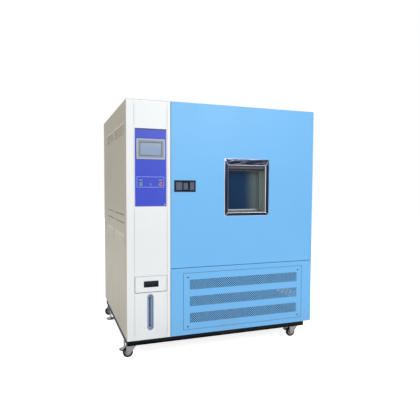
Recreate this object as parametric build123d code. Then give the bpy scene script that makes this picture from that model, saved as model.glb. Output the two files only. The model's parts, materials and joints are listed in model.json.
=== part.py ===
"""A walk-up environmental test chamber: white control column, light blue insulated door, machine space below.

Millimetres. +X right, +Y to the back, +Z up. The origin is on the floor under the middle of the cabinet.
"""

import math
import os

from build123d import *

# Cabinet
CABINET_W = 1556
CABINET_D = 1370
CABINET_H = 1760
SHEET = 2
CASTER_H = 105
FRAME_H = 35

# General clearances
SEAM = 1.5  # open seam between fixed cover plates
FIT = 0.3  # flat or soft pieces that only just don't touch
RUNNING = 0.05  # radial play of a pin or shaft in its bore

# Base frame
FRAME_W = 1488
FRAME_D = 1270
RAIL_W = 60
RAIL_T = 4
CROSS_W = 40
CROSS_MEMBERS = 2
GUSSET = 130
FLOOR_T = 3

# Casters
CASTER_IN_X = 50  # swivel axis from the base frame's side
CASTER_IN_Y = 70
CASTER_TRAIL = 35
WHEEL_R = 37.5
WHEEL_W = 24
HUB_R = 13
AXLE_R = 4
FORK_PLAY = 1.7  # wheel to fork cheek, each side
FORK_T = 3
RACE_R = 23
RACE_H = 10
KINGPIN_R = 6
PLATE_X = 90
PLATE_Y = 78
PLATE_T = 4
BOLT_HEAD_AF = 11

# Levelling feet
FOOT_IN_X = 15
FOOT_FRONT_Y = 230
FOOT_REAR_Y = 206
PAD_R = 40
PAD_EDGE_H = 6
PAD_H = 14
STEM_R = 6
STEM_PROUD = 5  # stem's end above the rail's lower flange
NUT_AF = 19
NUT_H = 8

# Control column
COLUMN_W = 326
POST_W = 57
INNER_POST_W = 26
POST_D = 40
PANEL_Z = 988  # heights in the column are above the base frame
PANEL_H = 567
PANEL_EDGE = 4
PANEL_SET_BACK = 3
DRAWER_Z = 356
DRAWER_H = 117
DRAWER_D = 210
DRAWER_TRAY_WALL = 2
TRAY_IN = 16
GUIDE_T = 2
GUIDE_W = 12
PULL_W = 106
PULL_H = 42
PULL_D = 16
PULL_RIM = 2
PULL_WALL = 2.5
GAUGE_W = 49
GAUGE_Z = 67
GAUGE_H = 273
GAUGE_D = 24
GAUGE_RIM = 4
TUBE_R = 4
CROSSBAR_H = 26

# Touchscreen and push buttons
SCREEN_W = 212
SCREEN_H = 148
SCREEN_Z = 345  # bottom edge above the control panel's bottom edge
SCREEN_PROUD = 7
SCREEN_D = 40
SCREEN_RIM = 9
GLASS_W = 155
GLASS_H = 90
GLASS_T = 2
SCREEN_STEP = 3
BUTTON_Z = 165  # centre above the control panel's bottom edge
BUTTON_PITCH = 146
BUTTON_R = 10.5
BUTTON_RING_R = 14.5
BUTTON_RING_H = 5
BUTTON_BODY_D = 32
BUTTON_OUT = 9
BUTTON_T = 20
PORT_R = 7

# Door
DOOR_Z = 520
DOOR_GAP = 4
DOOR_T = 85
SEAL_T = 12
SEAL_W = 24
SEAL_IN = 8  # seal's inner edge from the mouth
PLUG_DEPTH = 40
PLUG_CLEAR = 6
PAN_T = 1.5

# Window in the door
WINDOW_IN = 425  # from the door's latch edge
WINDOW_Z = 385  # from the door's lower edge
WINDOW_W = 389
WINDOW_H = 451
WINDOW_SIDE = 33
WINDOW_HEAD = 53
WINDOW_SILL = 30
WINDOW_PROUD = 8
WINDOW_BEVEL = 5
WINDOW_WALL = 2
HOOD_H = 37
HOOD_SET_BACK = 14
SILL_STEP = 16
SILL_STEP_D = 10
PANE_T = 6
PANE_GAP = 14
PANES = 3
STOP_W = 5

# Latch
LATCH_IN = 24
LATCH_Z = 575
LATCH_W = 169
LATCH_H = 88
LATCH_D = 46
LATCH_PROUD = 3
LATCH_LAND = 2
WELL_IN = 63  # finger well from the housing's left edge
WELL_W = 57
WELL_Z = 10
WELL_H = 67
WELL_D = 26
PADDLE_W = 36
PADDLE_H = 50
PADDLE_T = 6
PADDLE_SIDE = 10
PADDLE_PIN_R = 2.5
BOLT_SIZE = 12
BOLT_SET_BACK = 1  # bolt tip inside the door's edge
BOLT_L = 68
BOLT_DEPTH = 33
BOLT_PLAY = 0.4
KEEPER_H = 60
KEEPER_T = 6
KEEPER_D = 34

# Hinges
HINGES = 3
HINGE_IN = 150  # outer hinges from the door's ends
HINGE_OUT = 12
HINGE_R = 9.5
HINGE_PIN_R = 5
HINGE_H = 60
LEAF_T = 4
LEAF_L = 62

# Test space
CHAMBER_W = 1000
CHAMBER_H = 1000
CHAMBER_D = 800
PLENUM_D = 150
FOAM_SIDE = 109.5
FOAM_REAR = 100
FOAM_BASE = 122.5
LINER_T = 1.5
BEARER = 40

# Shelf
SHELF_Z = 480  # above the test space's floor
SHELF_D = 700
SHELF_ROD = 8
SHELF_BAR = 5
SHELF_BARS = 24
UPRIGHT_T = 8
UPRIGHT_W = 22
UPRIGHT_IN = 110
RUNNER_W = 14
RUNNER_T = 3
SHELF_PLAY = 2

# Air circulation
BAFFLE_T = 1.5
BAFFLE_SLOTS = 12
BAFFLE_SLOT_IN = 70  # slots from the test space's floor and roof
BAFFLE_SLOT_H = 40
BAFFLE_SLOT_PITCH = 70
BAFFLE_SLOT_W = 50
INTAKE_R = 110
BLOWER_R = 150
BLOWER_W = 80
BLOWER_BLADES = 24
BLOWER_Z = 690
BLOWER_SET_BACK = 20
BLADE_T = 2
BLADE_D = 30
BLOWER_DISC = 3
BLOWER_ARCS = 12  # the front ring is pressed from this many arcs
SHAFT_R = 8
BLOWER_HUB_R = 20
MOTOR_R = 75
MOTOR_L = 170
MOTOR_FLANGE = 190
MOTOR_FLANGE_T = 6
COIL_ROD = 10
HEATER_RODS = 6
HEATER_PITCH = 28
HEATER_W = 700
HEATER_DROP = 20
COIL_GAP = 5
COIL_PLATE = 4
EVAPORATOR_W = 700
EVAPORATOR_D = 110
EVAPORATOR_Z = 60
EVAPORATOR_TUBES = 5
TUBE_BEND_R = 7

# Cable port
PORT_BORE_R = 25
PORT_SLEEVE_T = 4
PORT_FLANGE_R = 38
PORT_FLANGE_T = 4
PORT_Z = 500
PORT_Y = 400
PORT_GRIP_R = 32
PORT_GRIP_T = 6

# Machine space
GRILLE_LEFT = 98
GRILLE_RIGHT = 94
GRILLE_BASE = 40
GRILLE_HEAD = 39
GRILLE_LEDGE = 12
BAND_LEFT = 51
BAND_RIGHT = 46
BAND_BASE = 52
BAND_H = 75
BAND_PITCH = 129
BANDS = 3
HOLE_R = 3.9
HOLE_PITCH = 17
ROW_PITCH = 8.3
SCREW_R = 6
SCREW_HEAD = 2.5
SCREW_SHANK_R = 2.5
SCREW_L = 10
SCREW_IN_X = 36
SCREW_IN_Z = 34
COMPRESSOR_R = 110
COMPRESSOR_H = 330
COMPRESSOR_IN_X = 320
COMPRESSOR_Y = 760
COMPRESSOR_FOOT = 260
CONDENSER_W = 620
CONDENSER_H = 420
CONDENSER_D = 90
CONDENSER_Y = 60
CONDENSER_BENDS = 6
CONDENSER_SHROUD = 60
FAN_R = 180
FAN_BLADES = 5
FAN_D = 34
FAN_HUB_R = 45
FAN_MOTOR_R = 50
FAN_MOTOR_L = 90
FAN_TIP = 6
TANK_W = 190
TANK_D = 240
TANK_H = 335

# Electrical plate
WIRING_Z = 560
WIRING_H = 1000
WIRING_D = 260
WIRING_Y = 120
DEVICE_ROWS = 3
DEVICES = 4
DEVICE_IN = 20
DEVICE_W = 45
DEVICE_H = 90
DEVICE_T = 60
STANDOFF = 12

# Vents
LOUVRES = 5
LOUVRE_PITCH = 15.6
LOUVRE_H = 9
LOUVRE_OUT = 5
LOUVRE_T = 1.2
UPPER_LOUVRE_Z = 1525
LOWER_LOUVRE_Z = 690
LOUVRE_FRONT_Y = 125
LOUVRE_LONG = 485
LOUVRE_GAP = 85
LOUVRE_SHORT = 405
SLOT_H = 6
SLOT_L = 48
SLOT_GAP = 10
SLOT_ROWS_Z = (918, 858)
REAR_SLOTS = 9
REAR_SLOT_L = 900
REAR_SLOT_PITCH = 22

# Rear fittings
GLAND_R = 16
GLAND_L = 24
DRAIN_R = 11
DRAIN_L = 26
FITTING_IN_X = 180
FITTING_Z = 120
FITTING_PITCH = 120

# Places that follow from the sizes above
LEFT, RIGHT = -CABINET_W / 2, CABINET_W / 2
FRONT, REAR = -CABINET_D / 2, CABINET_D / 2
FLOOR = CASTER_H + FRAME_H
TOP = FLOOR + CABINET_H
ROOF = TOP - SHEET
COVER_LEFT, COVER_RIGHT = LEFT + POST_W, LEFT + COLUMN_W - INNER_POST_W
COLUMN_RIGHT = LEFT + COLUMN_W
DOOR_LEFT = COLUMN_RIGHT + DOOR_GAP
DOOR_BASE = FLOOR + DOOR_Z
SILL = DOOR_BASE - DOOR_GAP
DOOR_BACK = FRONT + DOOR_T
MOUTH = DOOR_BACK + SEAL_T
SPACE_RIGHT = RIGHT - SHEET - FOAM_SIDE - LINER_T
SPACE_LEFT = SPACE_RIGHT - CHAMBER_W
SPACE_BASE = SILL + FOAM_BASE + LINER_T
SPACE_TOP = SPACE_BASE + CHAMBER_H
BAFFLE_Y = MOUTH + CHAMBER_D
SPACE_BACK = BAFFLE_Y + PLENUM_D
FOAM_BACK = SPACE_BACK + LINER_T + FOAM_REAR
SPACE_X = (SPACE_LEFT + SPACE_RIGHT) / 2
PLUG_END = MOUTH + PLUG_DEPTH


def block(xs, ys, zs):
    """A box between two values along each axis."""
    size = [span[1] - span[0] for span in (xs, ys, zs)]
    middle = [(span[0] + span[1]) / 2 for span in (xs, ys, zs)]
    return Pos(*middle) * Box(*size)


def rod(start, axis, length, radius):
    """A round bar from start along +X, +Y or +Z."""
    turn = {"X": Rot(0, 90, 0), "Y": Rot(-90, 0, 0), "Z": Rot(0, 0, 0)}[axis]
    bar = Cylinder(radius, length, align=(Align.CENTER, Align.CENTER, Align.MIN))
    return Pos(*start) * turn * bar


def hexagon(start, across_flats, height):
    """A hexagonal nut or head standing on start."""
    return Pos(*start) * extrude(RegularPolygon(across_flats / 2, 6, major_radius=False), height)


def inset(span, amount):
    """A span made shorter by an amount at both ends."""
    return span[0] + amount, span[1] - amount


def border(outer_x, outer_z, inner_x, inner_z, ys):
    """Four strips between two upright rectangles: left and right over the full height, then below and above."""
    return [
        block((outer_x[0], inner_x[0]), ys, outer_z),
        block((inner_x[1], outer_x[1]), ys, outer_z),
        block(inner_x, ys, (outer_z[0], inner_z[0])),
        block(inner_x, ys, (inner_z[1], outer_z[1])),
    ]


def save(name, *solids):
    """Write one node, as one solid or a group of separate solids."""
    found = [piece for shape in solids for piece in shape.solids()]
    export_step(found[0] if len(found) == 1 else Compound(found), f"parts/{name}.step")


def frame_corners(in_x, front_y, rear_y):
    """Four places on the base frame, named by corner."""
    right, back = LEFT + FRAME_W, FRONT + FRAME_D
    return {
        "front_left": (LEFT + in_x, FRONT + front_y),
        "front_right": (right - in_x, FRONT + front_y),
        "rear_left": (LEFT + in_x, back - rear_y),
        "rear_right": (right - in_x, back - rear_y),
    }


CASTERS = frame_corners(CASTER_IN_X, CASTER_IN_Y, CASTER_IN_Y)
FEET = frame_corners(FOOT_IN_X, FOOT_FRONT_Y, FOOT_REAR_Y)


def base_frame():
    """Channel rails, cross members, corner gussets, the feet's nuts and the floor sheet, welded edge to edge."""
    right, back = LEFT + FRAME_W, FRONT + FRAME_D
    inner_x, inner_y = (LEFT + RAIL_W, right - RAIL_W), (FRONT + RAIL_W, back - RAIL_W)
    low, web, high = (CASTER_H, CASTER_H + RAIL_T), (CASTER_H + RAIL_T, FLOOR - RAIL_T), (FLOOR - RAIL_T, FLOOR)
    between_webs = (FRONT + RAIL_T, back - RAIL_T)
    welded = [block((LEFT, right), ys, web) for ys in ((FRONT, FRONT + RAIL_T), (back - RAIL_T, back))]
    welded += [block(xs, between_webs, web) for xs in ((LEFT, LEFT + RAIL_T), (right - RAIL_T, right))]
    for zs in (low, high):
        welded += [block((LEFT, right), ys, zs) for ys in ((FRONT, inner_y[0]), (inner_y[1], back))]
        welded += [block(xs, inner_y, zs) for xs in ((LEFT, inner_x[0]), (inner_x[1], right))]
    for i in range(CROSS_MEMBERS):
        x = LEFT + FRAME_W * (i + 1) / (CROSS_MEMBERS + 1)
        welded.append(block((x - CROSS_W / 2, x + CROSS_W / 2), between_webs, web))
    for xs in ((inner_x[0], LEFT + GUSSET), (right - GUSSET, inner_x[1])):
        for ys in ((inner_y[0], FRONT + GUSSET), (back - GUSSET, inner_y[1])):
            welded.append(block(xs, ys, low))
    welded.append(
        block((LEFT + SHEET, RIGHT - SHEET), (FRONT + SHEET, REAR - SHEET), (FLOOR, FLOOR + FLOOR_T))
    )
    welded += [hexagon((x, y, CASTER_H - NUT_H), NUT_AF, NUT_H) for x, y in FEET.values()]
    holes = [rod((x, y, CASTER_H - NUT_H), "Z", NUT_H + RAIL_T, STEM_R + RUNNING) for x, y in FEET.values()]
    return [piece - holes for piece in welded]


def caster_plate(x, y):
    """The fixed top plate with its bolt heads and kingpin."""
    under = CASTER_H - PLATE_T
    plate = block((x - PLATE_X / 2, x + PLATE_X / 2), (y - PLATE_Y / 2, y + PLATE_Y / 2), (under, CASTER_H))
    head = BOLT_HEAD_AF * 0.4
    heads = [
        hexagon((x + i * (PLATE_X / 2 - BOLT_HEAD_AF), y + j * (PLATE_Y / 2 - BOLT_HEAD_AF), under - head),
                BOLT_HEAD_AF, head)
        for i in (-1, 1)
        for j in (-1, 1)
    ]
    rim_h = 2 * FORK_T - 2 * FIT
    pin_end = under - FIT - RACE_H - 3 * FORK_T
    pin = rod((x, y, pin_end), "Z", under - pin_end, KINGPIN_R)
    return plate + [*heads, pin, rod((x, y, pin_end), "Z", rim_h, KINGPIN_R + FORK_T)]


def caster_fork(x, y):
    """The swivelling fork: race, crown, two cheeks and the axle bolt, trailing towards -X."""
    crown_top = CASTER_H - PLATE_T - FIT
    crown = crown_top - RACE_H - FORK_T
    wheel_x = x - CASTER_TRAIL
    cheek_in = WHEEL_W / 2 + FORK_PLAY
    cheek_out = cheek_in + FORK_T
    back = wheel_x - HUB_R
    front = x + RACE_R
    fork = rod((x, y, crown), "Z", RACE_H + FORK_T, RACE_R)
    fork += block((back, front), (y - cheek_out, y + cheek_out), (crown, crown + FORK_T))
    profile = Polyline(
        (back, crown + FORK_T),
        (front, crown + FORK_T),
        (front, crown - 6),
        (wheel_x + HUB_R, WHEEL_R - HUB_R),
        (back, WHEEL_R - HUB_R),
        close=True,
    )
    side = Pos(0, y + cheek_out, 0) * extrude(Plane.XZ * make_face(profile), FORK_T)
    other = Pos(0, y - cheek_in, 0) * extrude(Plane.XZ * make_face(profile), FORK_T)
    fork = fork + side + other
    fork -= rod((x, y, crown - 1), "Z", RACE_H + FORK_T + 2, KINGPIN_R + RUNNING)
    fork += rod((wheel_x, y - cheek_out - 5, WHEEL_R), "Y", 2 * cheek_out + 10, AXLE_R)
    for low in (y - cheek_out - 5, y + cheek_out):
        fork += rod((wheel_x, low, WHEEL_R), "Y", 5, AXLE_R * 1.7)
    return fork


def caster_wheel(x, y):
    """Tyre and hub in one wheel, with a dished face on each side."""
    wheel_x = x - CASTER_TRAIL
    hub_w = WHEEL_W + 2 * FORK_PLAY - 2 * FIT
    wheel = rod((wheel_x, y - WHEEL_W / 2, WHEEL_R), "Y", WHEEL_W, WHEEL_R)
    wheel = fillet(wheel.edges().filter_by(GeomType.CIRCLE), WHEEL_W / 6)
    dish = WHEEL_W / 6
    for low in (y - WHEEL_W / 2, y + WHEEL_W / 2 - dish):
        wheel -= rod((wheel_x, low, WHEEL_R), "Y", dish, WHEEL_R * 0.68)
    wheel += rod((wheel_x, y - hub_w / 2, WHEEL_R), "Y", hub_w, HUB_R)
    return wheel - rod((wheel_x, y - hub_w / 2, WHEEL_R), "Y", hub_w, AXLE_R + RUNNING)


def levelling_foot(x, y):
    """A round pad on a threaded stem with a hexagon for the spanner."""
    foot = rod((x, y, 0), "Z", PAD_EDGE_H, PAD_R)
    foot += Pos(x, y, PAD_EDGE_H) * Cone(
        PAD_R, NUT_AF / 2 + 4, PAD_H - PAD_EDGE_H, align=(Align.CENTER, Align.CENTER, Align.MIN)
    )
    foot += hexagon((x, y, PAD_H), NUT_AF, NUT_H)
    stem_top = CASTER_H + RAIL_T + STEM_PROUD
    return foot + rod((x, y, PAD_H), "Z", stem_top - PAD_H, STEM_R)


def column_frame():
    """Corner post, right post with the wall beside the door, crossbars and the drawer's guides, edge to edge."""
    behind = FRONT + SHEET
    height = (FLOOR + FLOOR_T, ROOF)
    lip_y = (behind, behind + POST_D)
    post = [
        block((LEFT, COVER_LEFT - SEAM), (FRONT, behind), (FLOOR, ROOF)),
        block((LEFT + SHEET, LEFT + 2 * SHEET), lip_y, height),
        block((COVER_LEFT - SEAM - SHEET, COVER_LEFT - SEAM), lip_y, height),
        block((COVER_RIGHT + SEAM, COLUMN_RIGHT), (FRONT, behind), (FLOOR, ROOF)),
        block((COVER_RIGHT + SEAM, COVER_RIGHT + SEAM + SHEET), lip_y, height),
    ]
    wall = [
        block((COLUMN_RIGHT - SHEET, COLUMN_RIGHT), (behind, FOAM_BACK), height),
        block((COLUMN_RIGHT, COLUMN_RIGHT + BEARER), (MOUTH, FOAM_BACK), (SILL - BEARER, SILL)),
    ]
    bar_back = FRONT + GAUGE_D - FIT
    gauge_top = FLOOR + GAUGE_Z + GAUGE_H + SEAM
    bars = [
        (FLOOR + FLOOR_T, FLOOR + FLOOR_T + CROSSBAR_H),
        (gauge_top, FLOOR + DRAWER_Z - SEAM),
        (FLOOR + DRAWER_Z + DRAWER_H + SEAM, FLOOR + DRAWER_Z + DRAWER_H + SEAM + CROSSBAR_H),
        (FLOOR + PANEL_Z - CROSSBAR_H, FLOOR + PANEL_Z),
        (FLOOR + PANEL_Z + PANEL_H, FLOOR + PANEL_Z + PANEL_H + CROSSBAR_H),
        (ROOF - CROSSBAR_H, ROOF),
    ]
    braces = [block((COVER_LEFT - SEAM, COVER_RIGHT + SEAM), (behind, bar_back), zs) for zs in bars]
    tray = drawer_tray_span()
    low = FLOOR + DRAWER_Z + TRAY_IN - FIT - GUIDE_T
    guides = [
        block(xs, (behind + FIT, behind + DRAWER_D), (low, low + GUIDE_T))
        for xs in ((COVER_LEFT - SEAM, tray[0] + GUIDE_W), (tray[1] - GUIDE_W, COVER_RIGHT + SEAM))
    ]
    return [piece - keeper_pocket(0) for piece in (*post, *wall, *braces, *guides)]


def keeper_pocket(clearance):
    """The keeper's outline in the right post, grown by a clearance."""
    z, y = bolt_height(), FRONT + BOLT_DEPTH
    return block(
        (COLUMN_RIGHT - KEEPER_T - clearance, COLUMN_RIGHT + clearance),
        (y - KEEPER_D / 2 - clearance, y + KEEPER_D / 2 + clearance),
        (z - KEEPER_H / 2 - clearance, z + KEEPER_H / 2 + clearance),
    )


def door_keeper():
    """The keeper plate that the latch bolt enters."""
    z, y, half = bolt_height(), FRONT + BOLT_DEPTH, BOLT_SIZE / 2 + 2
    return keeper_pocket(0) - block(
        (COLUMN_RIGHT - KEEPER_T, COLUMN_RIGHT), (y - half, y + half), (z - half, z + half)
    )


def drawer_tray_span():
    """The tray's sides, inside the column's cover opening."""
    return COVER_LEFT + SEAM + TRAY_IN, COVER_RIGHT - SEAM - TRAY_IN


def gauge_outline(grow, y, depth):
    """The level gauge's upright rounded slot shape, as a solid from y towards the back."""
    x, z = (COVER_LEFT + COVER_RIGHT) / 2 - 6, FLOOR + GAUGE_Z + GAUGE_H / 2
    face = SlotOverall(GAUGE_H + 2 * grow, GAUGE_W + 2 * grow, rotation=90)
    return Pos(x, y + depth, z) * extrude(Plane.XZ * face, depth)


def column_cover():
    """The column's cover sheet, with openings for the control panel, the drawer and the gauge."""
    ys = (FRONT, FRONT + SHEET)
    cover = block((COVER_LEFT, COVER_RIGHT), ys, (FLOOR, ROOF))
    cover -= block(
        (COVER_LEFT + PANEL_EDGE, COVER_RIGHT - PANEL_EDGE), ys, (FLOOR + PANEL_Z, FLOOR + PANEL_Z + PANEL_H)
    )
    cover -= block(
        (COVER_LEFT + SEAM, COVER_RIGHT - SEAM), ys,
        (FLOOR + DRAWER_Z - SEAM, FLOOR + DRAWER_Z + DRAWER_H + SEAM),
    )
    return cover - gauge_outline(0, FRONT, SHEET)


def panel_point(along, up):
    """A place on the control panel: along from its middle, up from its lower edge."""
    return (COVER_LEFT + COVER_RIGHT) / 2 + along, FLOOR + PANEL_Z + up


def control_panel():
    """The blue plate behind the cover's opening, with holes for the screen and the buttons."""
    face = FRONT + PANEL_SET_BACK
    middle, low = panel_point(0, 0)
    half_w = (COVER_RIGHT - COVER_LEFT) / 2 - PANEL_EDGE
    panel = block((middle - half_w, middle + half_w), (face, face + SHEET), (low, low + PANEL_H))
    panel += block(
        (middle - half_w, middle - half_w + SHEET), (face, FRONT + POST_D), (low, low + PANEL_H)
    )
    panel += block(
        (middle + half_w - SHEET, middle + half_w), (face, FRONT + POST_D), (low, low + PANEL_H)
    )
    x, z = panel_point(0, SCREEN_Z + SCREEN_H / 2)
    hole_w, hole_h = SCREEN_W / 2 - SCREEN_RIM, SCREEN_H / 2 - SCREEN_RIM
    panel -= block((x - hole_w, x + hole_w), (face, face + SHEET), (z - hole_h, z + hole_h))
    for along, radius in button_places():
        x, z = panel_point(along, BUTTON_Z)
        panel -= rod((x, face, z), "Y", SHEET, radius - 2)
    return panel


def button_places():
    """Where the two buttons and the port between them stand, with their ring radii."""
    return (-BUTTON_PITCH / 2, BUTTON_RING_R), (0, PORT_R), (BUTTON_PITCH / 2, BUTTON_RING_R)


def touchscreen_housing():
    """The screen's housing: a rim, a deeper step round the glass and the body behind the panel."""
    face = FRONT + PANEL_SET_BACK
    x, z = panel_point(0, SCREEN_Z + SCREEN_H / 2)
    rim = block(
        (x - SCREEN_W / 2, x + SCREEN_W / 2), (face - SCREEN_PROUD, face), (z - SCREEN_H / 2, z + SCREEN_H / 2)
    )
    rim = chamfer(rim.faces().sort_by(Axis.Y)[0].edges(), SCREEN_PROUD / 3)
    half_w, half_h = SCREEN_W / 2 - SCREEN_RIM, SCREEN_H / 2 - SCREEN_RIM
    rim += block((x - half_w, x + half_w), (face, face + SCREEN_D), (z - half_h, z + half_h))
    half_w, half_h = half_w - 4, half_h - 4
    step = face - SCREEN_PROUD + SCREEN_STEP
    rim -= block((x - half_w, x + half_w), (face - SCREEN_PROUD, step), (z - half_h, z + half_h))
    return rim - block(
        (x - GLASS_W / 2, x + GLASS_W / 2), (step, step + GLASS_T), (z - GLASS_H / 2, z + GLASS_H / 2)
    )


def touchscreen_glass():
    """The glass in the housing's step."""
    step = FRONT + PANEL_SET_BACK - SCREEN_PROUD + SCREEN_STEP
    x, z = panel_point(0, SCREEN_Z + SCREEN_H / 2)
    return block((x - GLASS_W / 2, x + GLASS_W / 2), (step, step + GLASS_T), (z - GLASS_H / 2, z + GLASS_H / 2))


def button_rings():
    """Bezel rings with their threaded bodies behind the panel, and the plain port."""
    face = FRONT + PANEL_SET_BACK
    pieces = []
    for along, radius in button_places():
        x, z = panel_point(along, BUTTON_Z)
        front = face - BUTTON_RING_H
        ring = rod((x, front, z), "Y", BUTTON_RING_H, radius)
        ring = chamfer(ring.faces().sort_by(Axis.Y)[0].edges(), 1.5)
        ring += rod((x, face, z), "Y", BUTTON_BODY_D, radius - 2)
        bore = BUTTON_R + FIT if radius > PORT_R else PORT_R / 2
        ring -= rod((x, front, z), "Y", BUTTON_RING_H + BUTTON_T, bore)
        pieces.append(ring)
    return pieces


def push_button(along):
    """A round button with a softened edge."""
    x, z = panel_point(along, BUTTON_Z)
    button = rod((x, FRONT + PANEL_SET_BACK - BUTTON_OUT, z), "Y", BUTTON_T, BUTTON_R)
    return fillet(button.faces().sort_by(Axis.Y)[0].edges(), 1.5)


def drawer_face():
    """Inside edges of the drawer's front sheet: x span and z span."""
    return (COVER_LEFT + 2 * SEAM, COVER_RIGHT - 2 * SEAM), (FLOOR + DRAWER_Z, FLOOR + DRAWER_Z + DRAWER_H)


def pull_span(grow):
    """The cup pull's outline in the drawer front, grown by an amount."""
    xs, zs = drawer_face()
    x, z = (xs[0] + xs[1]) / 2, (zs[0] + zs[1]) / 2
    return (
        (x - PULL_W / 2 - grow, x + PULL_W / 2 + grow),
        (z - PULL_H / 2 - grow, z + PULL_H / 2 + grow),
    )


def water_drawer():
    """Front sheet and the open tray behind it."""
    xs, zs = drawer_face()
    drawer = block(xs, (FRONT, FRONT + SHEET), zs)
    left, right = drawer_tray_span()
    low = zs[0] + TRAY_IN
    high = zs[1] - TRAY_IN
    back = FRONT + SHEET + DRAWER_D
    drawer += block((left, right), (FRONT + SHEET, back), (low, high))
    drawer -= block(
        (left + DRAWER_TRAY_WALL, right - DRAWER_TRAY_WALL),
        (FRONT + SHEET + PULL_D + DRAWER_TRAY_WALL, back - DRAWER_TRAY_WALL),
        (low + DRAWER_TRAY_WALL, high + 1),
    )
    pull_x, pull_z = pull_span(0)
    return drawer - block(pull_x, (FRONT, FRONT + PULL_D), pull_z)


def drawer_pull():
    """The black cup pull, with a rim over the sheet and a lip to hook a finger behind."""
    xs, zs = pull_span(0)
    rim_x, rim_z = pull_span(PULL_RIM)
    pull = block(rim_x, (FRONT - PULL_RIM, FRONT), rim_z) + block(xs, (FRONT, FRONT + PULL_D), zs)
    pull -= block(
        (xs[0] + PULL_WALL, xs[1] - PULL_WALL),
        (FRONT - PULL_RIM, FRONT + PULL_D - PULL_WALL),
        (zs[0] + PULL_WALL, zs[1] - PULL_H * 0.4),
    )
    return pull - block(
        (xs[0] + PULL_WALL, xs[1] - PULL_WALL),
        (FRONT + PULL_WALL, FRONT + PULL_D - PULL_WALL),
        (zs[0] + PULL_WALL, zs[1] - PULL_WALL),
    )


def level_gauge():
    """The rounded gauge frame with its tube standing in the recess."""
    frame = gauge_outline(-FIT, FRONT, GAUGE_D) - gauge_outline(-GAUGE_RIM, FRONT, GAUGE_D - GAUGE_RIM)
    x = (COVER_LEFT + COVER_RIGHT) / 2 - 6
    low = FLOOR + GAUGE_Z + GAUGE_W / 2
    y = FRONT + GAUGE_D - GAUGE_RIM - TUBE_R
    high = FLOOR + GAUGE_Z + GAUGE_H - GAUGE_W / 2
    return frame, rod((x, y, low), "Z", high - low, TUBE_R)


def water_tank():
    """The tank behind the gauge."""
    x, y, low = (COVER_LEFT + COVER_RIGHT) / 2, FRONT + GAUGE_D, FLOOR + FLOOR_T
    return block((x - TANK_W / 2, x + TANK_W / 2), (y, y + TANK_D), (low, low + TANK_H))


def wiring_plate():
    """The electrical mounting plate on the column's inner wall, with its rows of devices."""
    wall = COLUMN_RIGHT - SHEET
    y, z = FRONT + WIRING_Y, FLOOR + WIRING_Z
    face = wall - STANDOFF - SHEET
    plate = block((face, face + SHEET), (y, y + WIRING_D), (z, z + WIRING_H))
    fixed = [
        rod((wall - STANDOFF, foot_y, foot_z), "X", STANDOFF, STANDOFF / 2)
        for foot_y in (y + DEVICE_IN, y + WIRING_D - DEVICE_IN)
        for foot_z in (z + DEVICE_IN, z + WIRING_H - DEVICE_IN)
    ]
    for row in range(DEVICE_ROWS):
        low = z + DEVICE_H + row * (WIRING_H - 2 * DEVICE_H) / DEVICE_ROWS
        for i in range(DEVICES):
            start = y + DEVICE_IN + i * (WIRING_D - 2 * DEVICE_IN) / DEVICES
            fixed.append(block((face - DEVICE_T, face), (start, start + DEVICE_W), (low, low + DEVICE_H)))
    return plate + fixed


def louvre_bank(side, outer, y_start, length, z):
    """Hoods and throats of one bank of pressed louvres; side is -1 for the left sheet and 1 for the right."""
    inner = outer - side * (SHEET + 1)
    lip = outer + side * LOUVRE_OUT
    hoods, throats = [], []
    for i in range(LOUVRES):
        low = z + i * LOUVRE_PITCH
        hood = Polyline((outer, low + LOUVRE_H), (lip, low + 2), (lip, low), (outer, low), close=True)
        throat = Polyline(
            (inner, low + LOUVRE_H - 2),
            (outer, low + LOUVRE_H - 2),
            (lip - side * LOUVRE_T, low + LOUVRE_T),
            (lip - side * LOUVRE_T, low),
            (inner, low),
            close=True,
        )
        hoods.append(Pos(0, y_start + length, 0) * extrude(Plane.XZ * make_face(hood), length))
        inside = length - 2 * SHEET
        throats.append(Pos(0, y_start + length - SHEET, 0) * extrude(Plane.XZ * make_face(throat), inside))
    return hoods, throats


def louvre_spans():
    """Where the long and the short bank run along Y: start and length."""
    start = FRONT + LOUVRE_FRONT_Y
    return (start, LOUVRE_LONG), (start + LOUVRE_LONG + LOUVRE_GAP, LOUVRE_SHORT)


def louvred(panel, side, outer, heights):
    """A side sheet with a long and a short bank at each height."""
    banks = [louvre_bank(side, outer, y, length, z) for z in heights for y, length in louvre_spans()]
    hoods = [hood for bank in banks for hood in bank[0]]
    throats = [throat for bank in banks for throat in bank[1]]
    return panel + hoods - throats


def left_side():
    """The left side sheet with its louvres and two rows of slots."""
    panel = block((LEFT, LEFT + SHEET), (FRONT + SHEET, REAR - SHEET), (FLOOR, ROOF))
    panel = louvred(panel, -1, LEFT, (FLOOR + UPPER_LOUVRE_Z, FLOOR + LOWER_LOUVRE_Z))
    slots = []
    for z in SLOT_ROWS_Z:
        for start, length in louvre_spans():
            for i in range(int(length // (SLOT_L + SLOT_GAP))):
                y = start + i * (SLOT_L + SLOT_GAP)
                slots.append(block((LEFT, LEFT + SHEET), (y, y + SLOT_L), (FLOOR + z, FLOOR + z + SLOT_H)))
    return panel - slots


def right_side():
    """The right side sheet, cut back behind the door, with the foam box's bearer and louvres."""
    panel = block((RIGHT - SHEET, RIGHT), (FRONT + SHEET, REAR - SHEET), (FLOOR, ROOF))
    panel -= block((RIGHT - SHEET, RIGHT), (FRONT, MOUTH), (SILL, ROOF))
    panel += block((RIGHT - SHEET - BEARER, RIGHT - SHEET), (MOUTH, FOAM_BACK), (SILL - BEARER, SILL))
    panel = louvred(panel, 1, RIGHT, (FLOOR + LOUVRE_FRONT_Y,))
    y, z = MOUTH + PORT_Y, SPACE_BASE + PORT_Z
    return panel - rod((RIGHT - SHEET, y, z), "X", SHEET, PORT_BORE_R + PORT_SLEEVE_T + FIT)


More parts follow.
